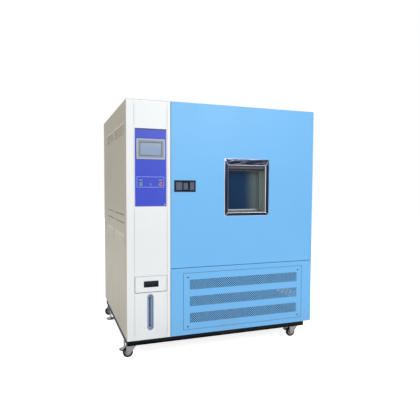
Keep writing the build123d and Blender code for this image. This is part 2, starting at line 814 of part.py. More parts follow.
def rear_sheet():
    """The rear sheet with a bank of slots high and low, and holes for the fittings."""
    panel = block((LEFT, RIGHT), (REAR - SHEET, REAR), (FLOOR, ROOF))
    slots = []
    for low in (FLOOR + FITTING_PITCH * 2, ROOF - REAR_SLOTS * REAR_SLOT_PITCH - FITTING_Z):
        for i in range(REAR_SLOTS):
            z = low + i * REAR_SLOT_PITCH
            slots.append(block((-REAR_SLOT_L / 2, REAR_SLOT_L / 2), (REAR - SHEET, REAR), (z, z + SLOT_H)))
    for x, z, radius in fitting_places():
        slots.append(rod((x, REAR - SHEET, z), "Y", SHEET, radius - 4))
    return panel - slots


def roof_sheet():
    """The roof, cut back behind the door."""
    roof = block((LEFT, RIGHT), (FRONT, REAR), (ROOF, TOP))
    return roof - block((COLUMN_RIGHT, RIGHT), (FRONT, MOUTH), (ROOF, TOP))


def fitting_places():
    """Power gland and drain stub on the rear sheet."""
    x, z = LEFT + FITTING_IN_X, FLOOR + FITTING_Z
    return (x, z, GLAND_R), (x + FITTING_PITCH, z, DRAIN_R)


def rear_fittings():
    """A cable gland with its cap nut, and a plain drain stub."""
    (x, z, radius), (drain_x, drain_z, drain_r) = fitting_places()
    gland = rod((x, REAR, z), "Y", 8, radius) + rod((x, REAR + 8, z), "Y", GLAND_L - 8, radius - 3)
    gland += rod((x, REAR - SHEET - 8, z), "Y", SHEET + 8, radius - 4)
    gland -= rod((x, REAR - SHEET - 8, z), "Y", GLAND_L + SHEET + 8, radius / 2)
    drain = rod((drain_x, REAR, drain_z), "Y", 5, drain_r + 4)
    drain += rod((drain_x, REAR - SHEET - 8, drain_z), "Y", DRAIN_L + SHEET + 8, drain_r - 4)
    drain -= rod((drain_x, REAR - SHEET - 8, drain_z), "Y", DRAIN_L + SHEET + 8, drain_r - 6)
    return gland, drain


def grille_span():
    """The grille plate's edges in the lower front sheet: x span and z span."""
    return (DOOR_LEFT + GRILLE_LEFT, RIGHT - GRILLE_RIGHT), (FLOOR + GRILLE_BASE, SILL - GRILLE_HEAD)


def screw_places():
    """Centres of the grille plate's fixing screws."""
    xs, zs = grille_span()
    return [(x, z) for x in (xs[0] + SCREW_IN_X, xs[1] - SCREW_IN_X) for z in (zs[0] + 22, zs[1] - SCREW_IN_Z)]


def lower_front():
    """The lower front sheet: grille opening with a ledge, and the sill below the door."""
    (x0, x1), (z0, z1) = grille_span()
    behind = FRONT + SHEET
    sheet = block((DOOR_LEFT, RIGHT), (FRONT, behind), (FLOOR, SILL))
    sheet -= block((x0 - SEAM, x1 + SEAM), (FRONT, behind), (z0 - SEAM, z1 + SEAM))
    ledge = block(
        (x0 - GRILLE_LEDGE, x1 + GRILLE_LEDGE), (behind, behind + SHEET), (z0 - GRILLE_LEDGE, z1 + GRILLE_LEDGE)
    )
    ledge -= block(
        (x0 + 2 * GRILLE_LEDGE, x1 - 2 * GRILLE_LEDGE), (behind, behind + SHEET),
        (z0 + GRILLE_LEDGE, z1 - GRILLE_LEDGE),
    )
    for x in (x0 + SCREW_IN_X, x1 - SCREW_IN_X):
        ledge += block((x - 16, x + 16), (behind, behind + SHEET), (z0, z1))
    sheet += ledge
    sheet += block((DOOR_LEFT, RIGHT - SHEET), (behind, MOUTH), (SILL - SHEET, SILL))
    for x, z in screw_places():
        sheet -= rod((x, behind, z), "Y", SHEET, SCREW_SHANK_R)
    return sheet


def grille_plate():
    """The plate with its three bands of staggered round holes."""
    (x0, x1), (z0, z1) = grille_span()
    left, right = x0 + BAND_LEFT + HOLE_R, x1 - BAND_RIGHT - HOLE_R
    columns = int((right - left) // HOLE_PITCH) + 1
    rows = int((BAND_H - 2 * HOLE_R) // ROW_PITCH) + 1
    holes = [(x, z, SCREW_SHANK_R) for x, z in screw_places()]
    for band in range(BANDS):
        low = z0 + BAND_BASE + band * BAND_PITCH + HOLE_R
        for row in range(rows):
            shift = (row % 2) * HOLE_PITCH / 2
            places = [left + shift + i * HOLE_PITCH for i in range(columns)]
            holes += [(x, low + row * ROW_PITCH, HOLE_R) for x in places if x <= right]
    y = FRONT + SHEET
    rings = [Wire.make_circle(radius, Plane(origin=(x, y, z), z_dir=(0, -1, 0))) for x, z, radius in holes]
    outline = Wire.make_polygon([(x0, y, z0), (x1, y, z0), (x1, y, z1), (x0, y, z1)])
    return Solid.extrude(Face(outline, rings), Vector(0, -SHEET, 0))


def plate_screws():
    """Countersunk-looking screws with low heads, holding the grille plate to its ledge."""
    screws = []
    for x, z in screw_places():
        head = rod((x, FRONT - SCREW_HEAD, z), "Y", SCREW_HEAD, SCREW_R)
        head = fillet(head.faces().sort_by(Axis.Y)[0].edges(), 1)
        screws.append(head + rod((x, FRONT, z), "Y", SCREW_L, SCREW_SHANK_R))
    return screws


def compressor():
    """A hermetic compressor: domed shell on its foot plate, with two pipe stubs."""
    x, y, low = RIGHT - COMPRESSOR_IN_X, FRONT + COMPRESSOR_Y, FLOOR + FLOOR_T
    half = COMPRESSOR_FOOT / 2
    body = block((x - half, x + half), (y - half, y + half), (low, low + 6))
    dome = rod((x, y, low + 6), "Z", COMPRESSOR_H, COMPRESSOR_R)
    dome = fillet(dome.faces().sort_by(Axis.Z)[-1].edges(), COMPRESSOR_R / 3)
    body += dome
    for angle in (40, 220):
        stub_x = x + COMPRESSOR_R * 0.5 * math.cos(math.radians(angle))
        stub_y = y + COMPRESSOR_R * 0.5 * math.sin(math.radians(angle))
        body += rod((stub_x, stub_y, low + COMPRESSOR_H - 10), "Z", 50, 9)
    return body


def fan_centre():
    """The condenser fan's axis, behind the middle of the grille."""
    (x0, x1), _ = grille_span()
    return (x0 + x1) / 2, FLOOR + FLOOR_T + CONDENSER_H / 2


def condenser():
    """Coil block with its tube bends, the shroud ring behind it and the fan motor on its bracket."""
    x, z = fan_centre()
    y = FRONT + CONDENSER_Y
    low = FLOOR + FLOOR_T
    coil = block((x - CONDENSER_W / 2, x + CONDENSER_W / 2), (y, y + CONDENSER_D), (low, low + CONDENSER_H))
    bends = []
    for i in range(CONDENSER_BENDS):
        bend_z = low + (i + 0.5) * CONDENSER_H / CONDENSER_BENDS
        bends.append(rod((x + CONDENSER_W / 2, y + CONDENSER_D / 2, bend_z), "X", 14, TUBE_BEND_R))
    back = y + CONDENSER_D
    shroud = block(
        (x - CONDENSER_W / 2, x + CONDENSER_W / 2), (back, back + CONDENSER_SHROUD), (low, low + CONDENSER_H)
    )
    shroud -= rod((x, back, z), "Y", CONDENSER_SHROUD, FAN_R + FAN_TIP)
    motor_y = back + CONDENSER_SHROUD + 8
    motor = rod((x, motor_y, z), "Y", FAN_MOTOR_L, FAN_MOTOR_R)
    arm = FAN_R + 3 * FAN_TIP
    motor += block((x - arm, x + arm), (motor_y, motor_y + 5), (z - 12, z + 12))
    for side in (-1, 1):
        foot = x + side * (arm - 8)
        motor += block((foot - 8, foot + 8), (back + CONDENSER_SHROUD, motor_y), (z - 12, z + 12))
    motor -= rod((x, motor_y, z), "Y", FAN_MOTOR_L / 2, SHAFT_R + RUNNING)
    return coil, *bends, shroud, motor


def condenser_fan():
    """Axial fan: hub, pitched blades and its shaft into the motor."""
    x, z = fan_centre()
    y = FRONT + CONDENSER_Y + CONDENSER_D + (CONDENSER_SHROUD - FAN_D) / 2
    fan = Cylinder(FAN_HUB_R, FAN_D)
    for i in range(FAN_BLADES):
        blade = Pos((FAN_R + FAN_HUB_R - 6) / 2, 0, 0) * Rot(28, 0, 0) * Box(FAN_R - FAN_HUB_R, FAN_D * 1.5, 3)
        fan += Rot(0, 0, i * 360 / FAN_BLADES) * blade
    fan &= Cylinder(FAN_R, FAN_D)
    placed = Pos(x, y + FAN_D / 2, z) * Rot(-90, 0, 0) * fan
    motor_y = FRONT + CONDENSER_Y + CONDENSER_D + CONDENSER_SHROUD + 8
    return placed + rod((x, y, z), "Y", motor_y + FAN_MOTOR_L / 3 - y, SHAFT_R)


def foam_box():
    """The foam round the liner, with passages for the shaft and the cable port."""
    foam = block((COLUMN_RIGHT, RIGHT - SHEET), (MOUTH + LINER_T, FOAM_BACK), (SILL, ROOF))
    foam -= block(
        (SPACE_LEFT - LINER_T, SPACE_RIGHT + LINER_T),
        (MOUTH, SPACE_BACK + LINER_T),
        (SPACE_BASE - LINER_T, SPACE_TOP + LINER_T),
    )
    foam -= rod((SPACE_X, SPACE_BACK, SPACE_BASE + BLOWER_Z), "Y", FOAM_REAR + 10, SHAFT_R + 4)
    return foam - port_hole()


def port_hole():
    """The passage for the cable port's sleeve through the right wall."""
    y, z = MOUTH + PORT_Y, SPACE_BASE + PORT_Z
    length = RIGHT - SPACE_RIGHT + 2
    return rod((SPACE_RIGHT - 1, y, z), "X", length, PORT_BORE_R + PORT_SLEEVE_T + FIT)


def liner():
    """The stainless liner, welded from sheets: walls, floor, roof, back and the facing round its mouth."""
    xs, zs = (SPACE_LEFT, SPACE_RIGHT), (SPACE_BASE, SPACE_TOP)
    outer_x, outer_z = inset(xs, -LINER_T), inset(zs, -LINER_T)
    left, right, base, roof = border(outer_x, outer_z, xs, zs, (MOUTH, SPACE_BACK + LINER_T))
    back = block(xs, (SPACE_BACK, SPACE_BACK + LINER_T), zs)
    back -= rod((SPACE_X, SPACE_BACK, SPACE_BASE + BLOWER_Z), "Y", LINER_T, SHAFT_R + 4)
    facing = border((COLUMN_RIGHT, RIGHT - SHEET), (SILL, ROOF), outer_x, outer_z, (MOUTH, MOUTH + LINER_T))
    return left, right - port_hole(), base, roof, back, *facing


def port_sleeve():
    """The flanged sleeve through the right wall."""
    y, z = MOUTH + PORT_Y, SPACE_BASE + PORT_Z
    outer = PORT_BORE_R + PORT_SLEEVE_T
    sleeve = rod((SPACE_RIGHT, y, z), "X", RIGHT - SPACE_RIGHT, outer)
    sleeve += rod((RIGHT, y, z), "X", PORT_FLANGE_T, PORT_FLANGE_R)
    return sleeve - rod((SPACE_RIGHT, y, z), "X", RIGHT - SPACE_RIGHT + PORT_FLANGE_T, PORT_BORE_R)


def port_plug():
    """The soft plug with its grip."""
    y, z = MOUTH + PORT_Y, SPACE_BASE + PORT_Z
    face = RIGHT + PORT_FLANGE_T
    plug = rod((SPACE_RIGHT, y, z), "X", face - SPACE_RIGHT, PORT_BORE_R - FIT)
    return plug + rod((face + FIT, y, z), "X", PORT_GRIP_T, PORT_GRIP_R) + rod((face, y, z), "X", FIT, PORT_BORE_R - FIT)


def shelf_rails():
    """On each side wall, two uprights and the runner that carries the shelf."""
    z = SPACE_BASE + SHELF_Z
    rails = []
    for wall, side in ((SPACE_LEFT, 1), (SPACE_RIGHT, -1)):
        face = wall + side * UPRIGHT_T
        rail = None
        for y in (MOUTH + UPRIGHT_IN, BAFFLE_Y - UPRIGHT_IN):
            upright = block(
                (min(wall, face), max(wall, face)), (y, y + UPRIGHT_W), (SPACE_BASE + 60, SPACE_TOP - 60)
            )
            rail = upright if rail is None else rail + upright
        lip = face + side * RUNNER_W
        rail += block(
            (min(face, lip), max(face, lip)), (MOUTH + UPRIGHT_IN - 20, BAFFLE_Y - 20), (z - RUNNER_T, z)
        )
        rails.append(rail)
    return rails


def shelf():
    """The wire shelf: a rod frame with cross bars."""
    z = SPACE_BASE + SHELF_Z + FIT + SHELF_ROD / 2
    x0 = SPACE_LEFT + UPRIGHT_T + SHELF_PLAY + SHELF_ROD / 2
    x1 = SPACE_RIGHT - UPRIGHT_T - SHELF_PLAY - SHELF_ROD / 2
    y1 = BAFFLE_Y - 16
    y0 = y1 - SHELF_D
    half = SHELF_ROD / 2
    rack = block((x0 - half, x1 + half), (y0 - half, y1 + half), (z - half, z + half))
    rack -= block((x0 + half, x1 - half), (y0 + half, y1 - half), (z - half, z + half))
    middle = (y0 + y1) / 2
    bars = [block((x0, x1), (middle - half, middle + half), (z - half, z))]
    for i in range(SHELF_BARS):
        x = x0 + (i + 1) * (x1 - x0) / (SHELF_BARS + 1)
        bars.append(block((x - SHELF_BAR / 2, x + SHELF_BAR / 2), (y0, y1), (z, z + SHELF_BAR / 2)))
    return rack + bars


def air_baffle():
    """Three panels in front of the plenum: return slots low, the fan's intake, outlet slots high."""
    xs, ys = (SPACE_LEFT, SPACE_RIGHT), (BAFFLE_Y, BAFFLE_Y + BAFFLE_T)
    end_h = 2 * BAFFLE_SLOT_IN + BAFFLE_SLOT_H
    panels = [block(xs, ys, (SPACE_BASE + end_h, SPACE_TOP - end_h))]
    panels[0] -= rod((SPACE_X, BAFFLE_Y, SPACE_BASE + BLOWER_Z), "Y", BAFFLE_T, INTAKE_R)
    for low in (SPACE_BASE, SPACE_TOP - end_h):
        slots = []
        for i in range(BAFFLE_SLOTS):
            x = SPACE_X + (i - (BAFFLE_SLOTS - 1) / 2) * BAFFLE_SLOT_PITCH
            zs = (low + BAFFLE_SLOT_IN, low + BAFFLE_SLOT_IN + BAFFLE_SLOT_H)
            slots.append(block((x - BAFFLE_SLOT_W / 2, x + BAFFLE_SLOT_W / 2), ys, zs))
        panels.append(block(xs, ys, (low, low + end_h)) - slots)
    return panels


def blower_wheel():
    """Centrifugal wheel on its long shaft through the foam: ring of arcs, riveted blades, disc, hub and shaft."""
    z, front = SPACE_BASE + BLOWER_Z, BAFFLE_Y + BAFFLE_T + BLOWER_SET_BACK
    back = front + BLOWER_W
    disc = rod((SPACE_X, back - BLOWER_DISC, z), "Y", BLOWER_DISC, BLOWER_R)
    hub = rod((SPACE_X, front + BLOWER_W / 2, z), "Y", BLOWER_W / 2 - BLOWER_DISC, BLOWER_HUB_R)
    shaft = rod((SPACE_X, back, z), "Y", FOAM_BACK + MOTOR_FLANGE_T + MOTOR_L / 2 - back, SHAFT_R)
    ring = rod((SPACE_X, front, z), "Y", BLOWER_DISC, BLOWER_R)
    ring -= rod((SPACE_X, front, z), "Y", BLOWER_DISC, BLOWER_R - BLADE_D)
    turn = 2 * math.pi / BLOWER_ARCS
    wedge = Polyline(
        (0, 0), (2 * BLOWER_R, 0), (2 * BLOWER_R * math.cos(turn), 2 * BLOWER_R * math.sin(turn)), close=True
    )
    wedge = extrude(make_face(wedge), BLOWER_DISC)
    blade = Pos(BLOWER_R - BLADE_D / 2 - 1, 0, BLOWER_W / 2) * Rot(0, 0, 30) * Box(
        BLADE_D * 0.8, BLADE_T, BLOWER_W - 2 * BLOWER_DISC
    )
    wheel_place = Pos(SPACE_X, front, z) * Rot(-90, 0, 0)
    arcs = [ring & wheel_place * Rot(0, 0, i * 360 / BLOWER_ARCS) * wedge for i in range(BLOWER_ARCS)]
    blades = [wheel_place * Rot(0, 0, i * 360 / BLOWER_BLADES) * blade for i in range(BLOWER_BLADES)]
    return disc, hub, shaft, *arcs, *blades


def blower_motor():
    """The fan motor on its square flange behind the foam."""
    z, half = SPACE_BASE + BLOWER_Z, MOTOR_FLANGE / 2
    motor = block(
        (SPACE_X - half, SPACE_X + half), (FOAM_BACK, FOAM_BACK + MOTOR_FLANGE_T), (z - half, z + half)
    )
    motor += rod((SPACE_X, FOAM_BACK + MOTOR_FLANGE_T, z), "Y", MOTOR_L, MOTOR_R)
    return motor - rod((SPACE_X, FOAM_BACK, z), "Y", MOTOR_FLANGE_T + MOTOR_L * 0.6, SHAFT_R + RUNNING)


def heater_base():
    """The heater's lower edge, below the fan wheel."""
    return SPACE_BASE + BLOWER_Z - BLOWER_R - HEATER_DROP - (HEATER_RODS + 1) * HEATER_PITCH


def heater_coil():
    """Straight heater rods between two end plates, fixed to the liner's back."""
    y, low, half = BAFFLE_Y + PLENUM_D / 2, heater_base(), HEATER_W / 2
    height = (HEATER_RODS + 1) * HEATER_PITCH
    plates = [
        block((x - COIL_PLATE / 2, x + COIL_PLATE / 2), (y - 15, SPACE_BACK), (low, low + height))
        for x in (SPACE_X - half, SPACE_X + half)
    ]
    rods = [
        rod((SPACE_X - half, y, low + (i + 1) * HEATER_PITCH), "X", HEATER_W, COIL_ROD / 2)
        for i in range(HEATER_RODS)
    ]
    return plates[0] + [plates[1], *rods]


def evaporator_coil():
    """The cooling coil at the foot of the plenum, with its tube ends."""
    low, high = SPACE_BASE + EVAPORATOR_Z, heater_base() - COIL_GAP
    half, back = EVAPORATOR_W / 2, SPACE_BACK
    coil = block((SPACE_X - half, SPACE_X + half), (back - EVAPORATOR_D, back), (low, high))
    ends = [
        rod((x, back - EVAPORATOR_D / 2, low + (i + 0.5) * (high - low) / EVAPORATOR_TUBES), "X", 20, TUBE_BEND_R)
        for i in range(EVAPORATOR_TUBES)
        for x in (SPACE_X - half - 20, SPACE_X + half)
    ]
    return coil + ends


def window_span():
    """The window's clear opening: x span and z span."""
    x, z = DOOR_LEFT + WINDOW_IN, DOOR_BASE + WINDOW_Z
    return (
        (x + WINDOW_SIDE, x + WINDOW_W - WINDOW_SIDE),
        (z + WINDOW_SILL, z + WINDOW_H - WINDOW_HEAD),
    )


def window_cut(grow):
    """The passage through the door for the window's sleeve, grown by an amount."""
    (x0, x1), (z0, z1) = window_span()
    return block((x0 - grow, x1 + grow), (FRONT - 1, PLUG_END + 1), (z0 - grow, z1 + grow))


def latch_origin():
    """Lower left corner of the latch housing on the door."""
    return DOOR_LEFT + LATCH_IN, DOOR_BASE + LATCH_Z


def bolt_height():
    """The latch bolt's centre height."""
    return latch_origin()[1] + LATCH_H / 2


def bolt_channel(start, end):
    """The bolt's square passage between two X values."""
    half = BOLT_SIZE / 2 + BOLT_PLAY
    y, z = FRONT + BOLT_DEPTH, bolt_height()
    return block((start, end), (y - half, y + half), (z - half, z + half))


def latch_body(proud):
    """The outside of the latch housing, standing proud of the door by an amount."""
    x, z = latch_origin()
    return block((x, x + LATCH_W), (FRONT - proud, FRONT + LATCH_D), (z, z + LATCH_H))


def door_skin():
    """The painted outer sheet and its four welded returns."""
    xs, zs = (DOOR_LEFT, RIGHT), (DOOR_BASE, TOP)
    face = block(xs, (FRONT, FRONT + SHEET), zs) - window_cut(WINDOW_WALL) - latch_body(1)
    returns = border(xs, zs, inset(xs, SHEET), inset(zs, SHEET), (FRONT + SHEET, DOOR_BACK))
    passage = bolt_channel(DOOR_LEFT - 1, DOOR_LEFT + SHEET + 1)
    return face, *[sheet - passage for sheet in returns]


def plug_span(amount):
    """The door's inner plug, which enters the mouth: x span and z span, moved in by an amount."""
    edge = PLUG_CLEAR + amount
    return inset((SPACE_LEFT, SPACE_RIGHT), edge), inset((SPACE_BASE, SPACE_TOP), edge)


def door_foam():
    """The foam inside the skin and the plug."""
    foam = block(
        (DOOR_LEFT + SHEET, RIGHT - SHEET), (FRONT + SHEET, DOOR_BACK - PAN_T), (DOOR_BASE + SHEET, TOP - SHEET)
    )
    xs, zs = plug_span(PAN_T)
    foam += block(xs, (DOOR_BACK - PAN_T, PLUG_END - PAN_T), zs)
    foam -= window_cut(WINDOW_WALL)
    foam -= latch_body(1)
    return foam - bolt_channel(DOOR_LEFT, DOOR_LEFT + LATCH_IN)


def door_pan():
    """The stainless inner pan: flange inside the skin, then the plug's four walls and its face."""
    xs, zs = inset((DOOR_LEFT, RIGHT), SHEET), inset((DOOR_BASE, TOP), SHEET)
    outer_x, outer_z = plug_span(0)
    inner_x, inner_z = plug_span(PAN_T)
    flange = border(xs, zs, inner_x, inner_z, (DOOR_BACK - PAN_T, DOOR_BACK))
    walls = border(outer_x, outer_z, inner_x, inner_z, (DOOR_BACK, PLUG_END))
    face = block(inner_x, (PLUG_END - PAN_T, PLUG_END), inner_z) - window_cut(WINDOW_WALL)
    return *flange, *walls, face


def door_seal():
    """The soft seal round the plug, just clear of the cabinet's facing."""
    ys = (DOOR_BACK, MOUTH - FIT)
    seal = block(
        (SPACE_LEFT - SEAL_IN - SEAL_W, SPACE_RIGHT + SEAL_IN + SEAL_W), ys,
        (SPACE_BASE - SEAL_IN - SEAL_W, SPACE_TOP + SEAL_IN + SEAL_W),
    )
    return seal - block(
        (SPACE_LEFT - SEAL_IN, SPACE_RIGHT + SEAL_IN), ys, (SPACE_BASE - SEAL_IN, SPACE_TOP + SEAL_IN)
    )


def pane_fronts():
    """Front faces of the panes, from the innermost forwards."""
    last = PLUG_END - SHEET - PANE_T
    return [last - i * (PANE_T + PANE_GAP) for i in range(PANES)]


def window_frame():
    """Mitred and bevelled trim ring, the sleeve through the door, lamp hood, sill step and the panes' stops."""
    x, z = DOOR_LEFT + WINDOW_IN, DOOR_BASE + WINDOW_Z
    xs, zs = window_span()
    low, high = (x, z), (x + WINDOW_W, z + WINDOW_H)
    ring = block((low[0], high[0]), (FRONT - WINDOW_PROUD, FRONT), (low[1], high[1]))
    ring = chamfer(ring.faces().sort_by(Axis.Y)[0].edges(), WINDOW_BEVEL)
    outer = [low, (high[0], low[1]), high, (low[0], high[1])]
    inner = [(xs[0], zs[0]), (xs[1], zs[0]), (xs[1], zs[1]), (xs[0], zs[1])]
    bars = []
    for i in range(4):
        after = (i + 1) % 4
        outline = Polyline(outer[i], outer[after], inner[after], inner[i], close=True)
        bars.append(ring & Pos(0, FRONT, 0) * extrude(Plane.XZ * make_face(outline), WINDOW_PROUD))
    sleeve = border(inset(xs, -WINDOW_WALL), inset(zs, -WINDOW_WALL), xs, zs, (FRONT, PLUG_END))
    front_pane = pane_fronts()[-1]
    hood = block(xs, (FRONT + HOOD_SET_BACK, front_pane), (zs[1] - HOOD_H, zs[1]))
    step = block(xs, (front_pane - SILL_STEP_D, front_pane), (zs[0], zs[0] + SILL_STEP))
    stops = border(xs, zs, inset(xs, STOP_W), inset(zs, STOP_W), (PLUG_END - SHEET, PLUG_END))
    return *bars, *sleeve, hood, step, *stops


def window_panes():
    """The window's panes with the spacer bars between them."""
    xs, zs = window_span()
    pieces = [block(xs, (y, y + PANE_T), zs) for y in pane_fronts()]
    for y in pane_fronts()[1:]:
        pieces += border(xs, zs, inset(xs, STOP_W), inset(zs, STOP_W), (y + PANE_T, y + PANE_T + PANE_GAP))
    return pieces


def paddle_place():
    """Paddle's left edge, lower edge and the pivot's depth behind the door's face."""
    x, z = latch_origin()
    return x + WELL_IN + PADDLE_SIDE + FIT, z + WELL_Z + PADDLE_T, FRONT + PADDLE_T / 2


def latch_housing():
    """The black flush housing: raised lands, the finger well with its pivot bores, the bolt's passage."""
    x, z = latch_origin()
    housing = latch_body(LATCH_PROUD)
    housing = chamfer(housing.faces().sort_by(Axis.Y)[0].edges(), 2)
    rim = 14
    face = FRONT - LATCH_PROUD
    lands = ((x + rim, x + WELL_IN), (x + WELL_IN + WELL_W, x + LATCH_W - rim))
    for xs in lands:
        housing += block(xs, (face - LATCH_LAND, face), (z + rim, z + LATCH_H - rim))
    well_x = (x + WELL_IN, x + WELL_IN + WELL_W)
    left, low, pivot_y = paddle_place()
    housing -= block(well_x, (face - LATCH_LAND, FRONT + WELL_D), (z + WELL_Z, z + WELL_Z + WELL_H))
    pivot_z = low + PADDLE_T / 2
    cheeks = ((well_x[0], left - FIT), (left + PADDLE_W + FIT, well_x[1]))
    for xs in cheeks:
        housing += block(xs, (FRONT, FRONT + WELL_D), (z + WELL_Z, pivot_z + PADDLE_T))
    housing -= rod((well_x[0] + 2, pivot_y, pivot_z), "X", WELL_W - 4, PADDLE_PIN_R + RUNNING)
    return housing - bolt_channel(x - 1, DOOR_LEFT + BOLT_SET_BACK + BOLT_L + 14)


def latch_paddle():
    """The paddle with its pivot barrel and pin, hinged along its lower edge."""
    left, low, pivot_y = paddle_place()
    right = left + PADDLE_W
    pivot_z = low + PADDLE_T / 2
    paddle = block(
        (left, right), (pivot_y - PADDLE_T / 2, pivot_y + PADDLE_T / 2), (pivot_z, pivot_z + PADDLE_H)
    )
    paddle += rod((left, pivot_y, pivot_z), "X", PADDLE_W, PADDLE_T / 2)
    pin = PADDLE_SIDE - 3
    return paddle + rod((left - pin, pivot_y, pivot_z), "X", PADDLE_W + 2 * pin, PADDLE_PIN_R)


def latch_bolt():
    """The square bolt with a sloped nose."""
    y, z, half = FRONT + BOLT_DEPTH, bolt_height(), BOLT_SIZE / 2
    tip = DOOR_LEFT + BOLT_SET_BACK
    bolt = block((tip, tip + BOLT_L), (y - half, y + half), (z - half, z + half))
    edge = bolt.edges().filter_by(Axis.Z).sort_by(Axis.X)[:2].sort_by(Axis.Y)[-1]
    return chamfer(edge, BOLT_SIZE / 2)


def hinge_heights():
    """Middle heights of the hinges."""
    low, high = DOOR_BASE + HINGE_IN, TOP - HINGE_IN
    return [low + i * (high - low) / (HINGES - 1) for i in range(HINGES)]


def hinge_cabinet_leaves():
    """Lower halves of the lift-off hinges, with their pins, on the right side sheet."""
    pieces = []
    for z in hinge_heights():
        low = z - HINGE_H
        leaf = block((RIGHT, RIGHT + LEAF_T), (MOUTH, MOUTH + LEAF_L), (low, z))
        leaf += rod((RIGHT + HINGE_OUT, MOUTH, low), "Z", HINGE_H, HINGE_R)
        leaf += rod((RIGHT + HINGE_OUT, MOUTH, z), "Z", HINGE_H - 8, HINGE_PIN_R)
        pieces.append(leaf)
    return pieces


def hinge_door_leaves():
    """Upper halves of the hinges, on the door's right edge."""
    pieces = []
    for z in hinge_heights():
        low = z + FIT
        leaf = block((RIGHT, RIGHT + LEAF_T), (MOUTH - LEAF_L, MOUTH), (low, z + HINGE_H))
        leaf += rod((RIGHT + HINGE_OUT, MOUTH, low), "Z", HINGE_H - FIT, HINGE_R)
        leaf -= rod((RIGHT + HINGE_OUT, MOUTH, low), "Z", HINGE_H - 6, HINGE_PIN_R + RUNNING)
        pieces.append(leaf)
    return pieces


os.makedirs("parts", exist_ok=True)

save("base_frame", *base_frame())
save("caster_plates", *[caster_plate(x, y) for x, y in CASTERS.values()])
for corner, (x, y) in CASTERS.items():
    save(f"caster_fork_{corner}", caster_fork(x, y))
    save(f"caster_wheel_{corner}", caster_wheel(x, y))
for corner, (x, y) in FEET.items():
    save(f"levelling_foot_{corner}", levelling_foot(x, y))

save("column_frame", *column_frame())
save("column_cover", column_cover())
save("control_panel", control_panel())
save("touchscreen_housing", touchscreen_housing())
save("touchscreen_glass", touchscreen_glass())
save("button_rings", *button_rings())
save("green_button", push_button(-BUTTON_PITCH / 2))
save("red_button", push_button(BUTTON_PITCH / 2))
save("water_drawer", water_drawer())
save("drawer_pull", drawer_pull())
save("level_gauge", *level_gauge())
save("water_tank", water_tank())
save("wiring_plate", wiring_plate())
save("door_keeper", door_keeper())

save("left_side", left_side())
save("right_side", right_side())
save("rear_sheet", rear_sheet())
save("roof_sheet", roof_sheet())
save("rear_fittings", *rear_fittings())
save("lower_front", lower_front())
save("grille_plate", grille_plate())
save("plate_screws", *plate_screws())

save("compressor", compressor())
save("condenser", *condenser())
save("condenser_fan", condenser_fan())

save("foam_box", foam_box())
save("liner", *liner())
save("cable_port", port_sleeve(), port_plug())
save("shelf_rails", *shelf_rails())
save("shelf", shelf())
save("air_baffle", *air_baffle())
save("blower_wheel", *blower_wheel())
save("blower_motor", blower_motor())
save("heater_coil", heater_coil())
save("evaporator_coil", evaporator_coil())

save("door_skin", *door_skin())
save("door_foam", door_foam())
save("door_pan", *door_pan())
save("door_seal", door_seal())
save("window_frame", *window_frame())
save("window_panes", *window_panes())
save("latch_housing", latch_housing())
save("latch_paddle", latch_paddle())
save("latch_bolt", latch_bolt())
save("hinge_cabinet_leaves", *hinge_cabinet_leaves())
save("hinge_door_leaves", *hinge_door_leaves())
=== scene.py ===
"""Looks of a walk-up environmental test chamber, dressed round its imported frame. Metres, +Z up."""

import json
import math

import bmesh
import bpy
from mathutils import Matrix, Vector

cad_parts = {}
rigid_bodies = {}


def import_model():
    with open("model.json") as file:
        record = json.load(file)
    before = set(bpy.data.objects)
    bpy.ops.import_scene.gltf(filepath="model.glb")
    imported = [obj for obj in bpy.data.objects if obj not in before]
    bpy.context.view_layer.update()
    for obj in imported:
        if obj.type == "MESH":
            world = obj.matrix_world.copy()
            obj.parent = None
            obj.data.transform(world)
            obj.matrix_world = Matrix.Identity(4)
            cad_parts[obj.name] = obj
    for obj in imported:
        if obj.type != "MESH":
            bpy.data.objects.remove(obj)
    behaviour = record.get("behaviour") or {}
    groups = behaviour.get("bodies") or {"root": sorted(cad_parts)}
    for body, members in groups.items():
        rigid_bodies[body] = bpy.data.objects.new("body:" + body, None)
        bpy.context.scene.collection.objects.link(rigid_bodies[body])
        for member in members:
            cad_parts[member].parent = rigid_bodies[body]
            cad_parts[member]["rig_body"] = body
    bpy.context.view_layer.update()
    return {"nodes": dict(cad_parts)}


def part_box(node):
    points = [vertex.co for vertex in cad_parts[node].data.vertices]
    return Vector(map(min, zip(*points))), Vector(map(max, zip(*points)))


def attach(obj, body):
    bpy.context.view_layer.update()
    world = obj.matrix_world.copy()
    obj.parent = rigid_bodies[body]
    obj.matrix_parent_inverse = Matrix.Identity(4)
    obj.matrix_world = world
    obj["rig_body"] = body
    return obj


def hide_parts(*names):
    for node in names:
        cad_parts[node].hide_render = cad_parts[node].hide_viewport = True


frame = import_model()
nodes = frame["nodes"]
scene = bpy.context.scene

# Camera
EYE = Vector((-1.2823, -3.7963, 1.2751))
YAW, PITCH, ROLL = (math.radians(angle) for angle in (20.185, 3.085, 0.264))
LENS = 36.95
SENSOR = 36.0

# Places on the chamber
FRONT = -0.685
LEFT, RIGHT = -0.778, 0.778
REAR = 0.685
CORNERS = ("front_left", "front_right", "rear_left", "rear_right")
SCREW_ROWS = (0.165, 1.872)
UPPER_LOUVRES, LOWER_LOUVRES = (1.66, 1.746), (0.826, 0.912)
FRONT_BANK, REAR_BANK = (-0.563, -0.072), (0.007, 0.418)

# Control panel
PANEL_FACE = -0.682
PANEL_X, PANEL_Z = (-0.717, -0.482), (1.128, 1.695)
START_X, STOP_X, PORT_X = -0.6725, -0.5265, -0.5995
BUTTON_Z = 1.293
CAPTION_Z = 1.3215

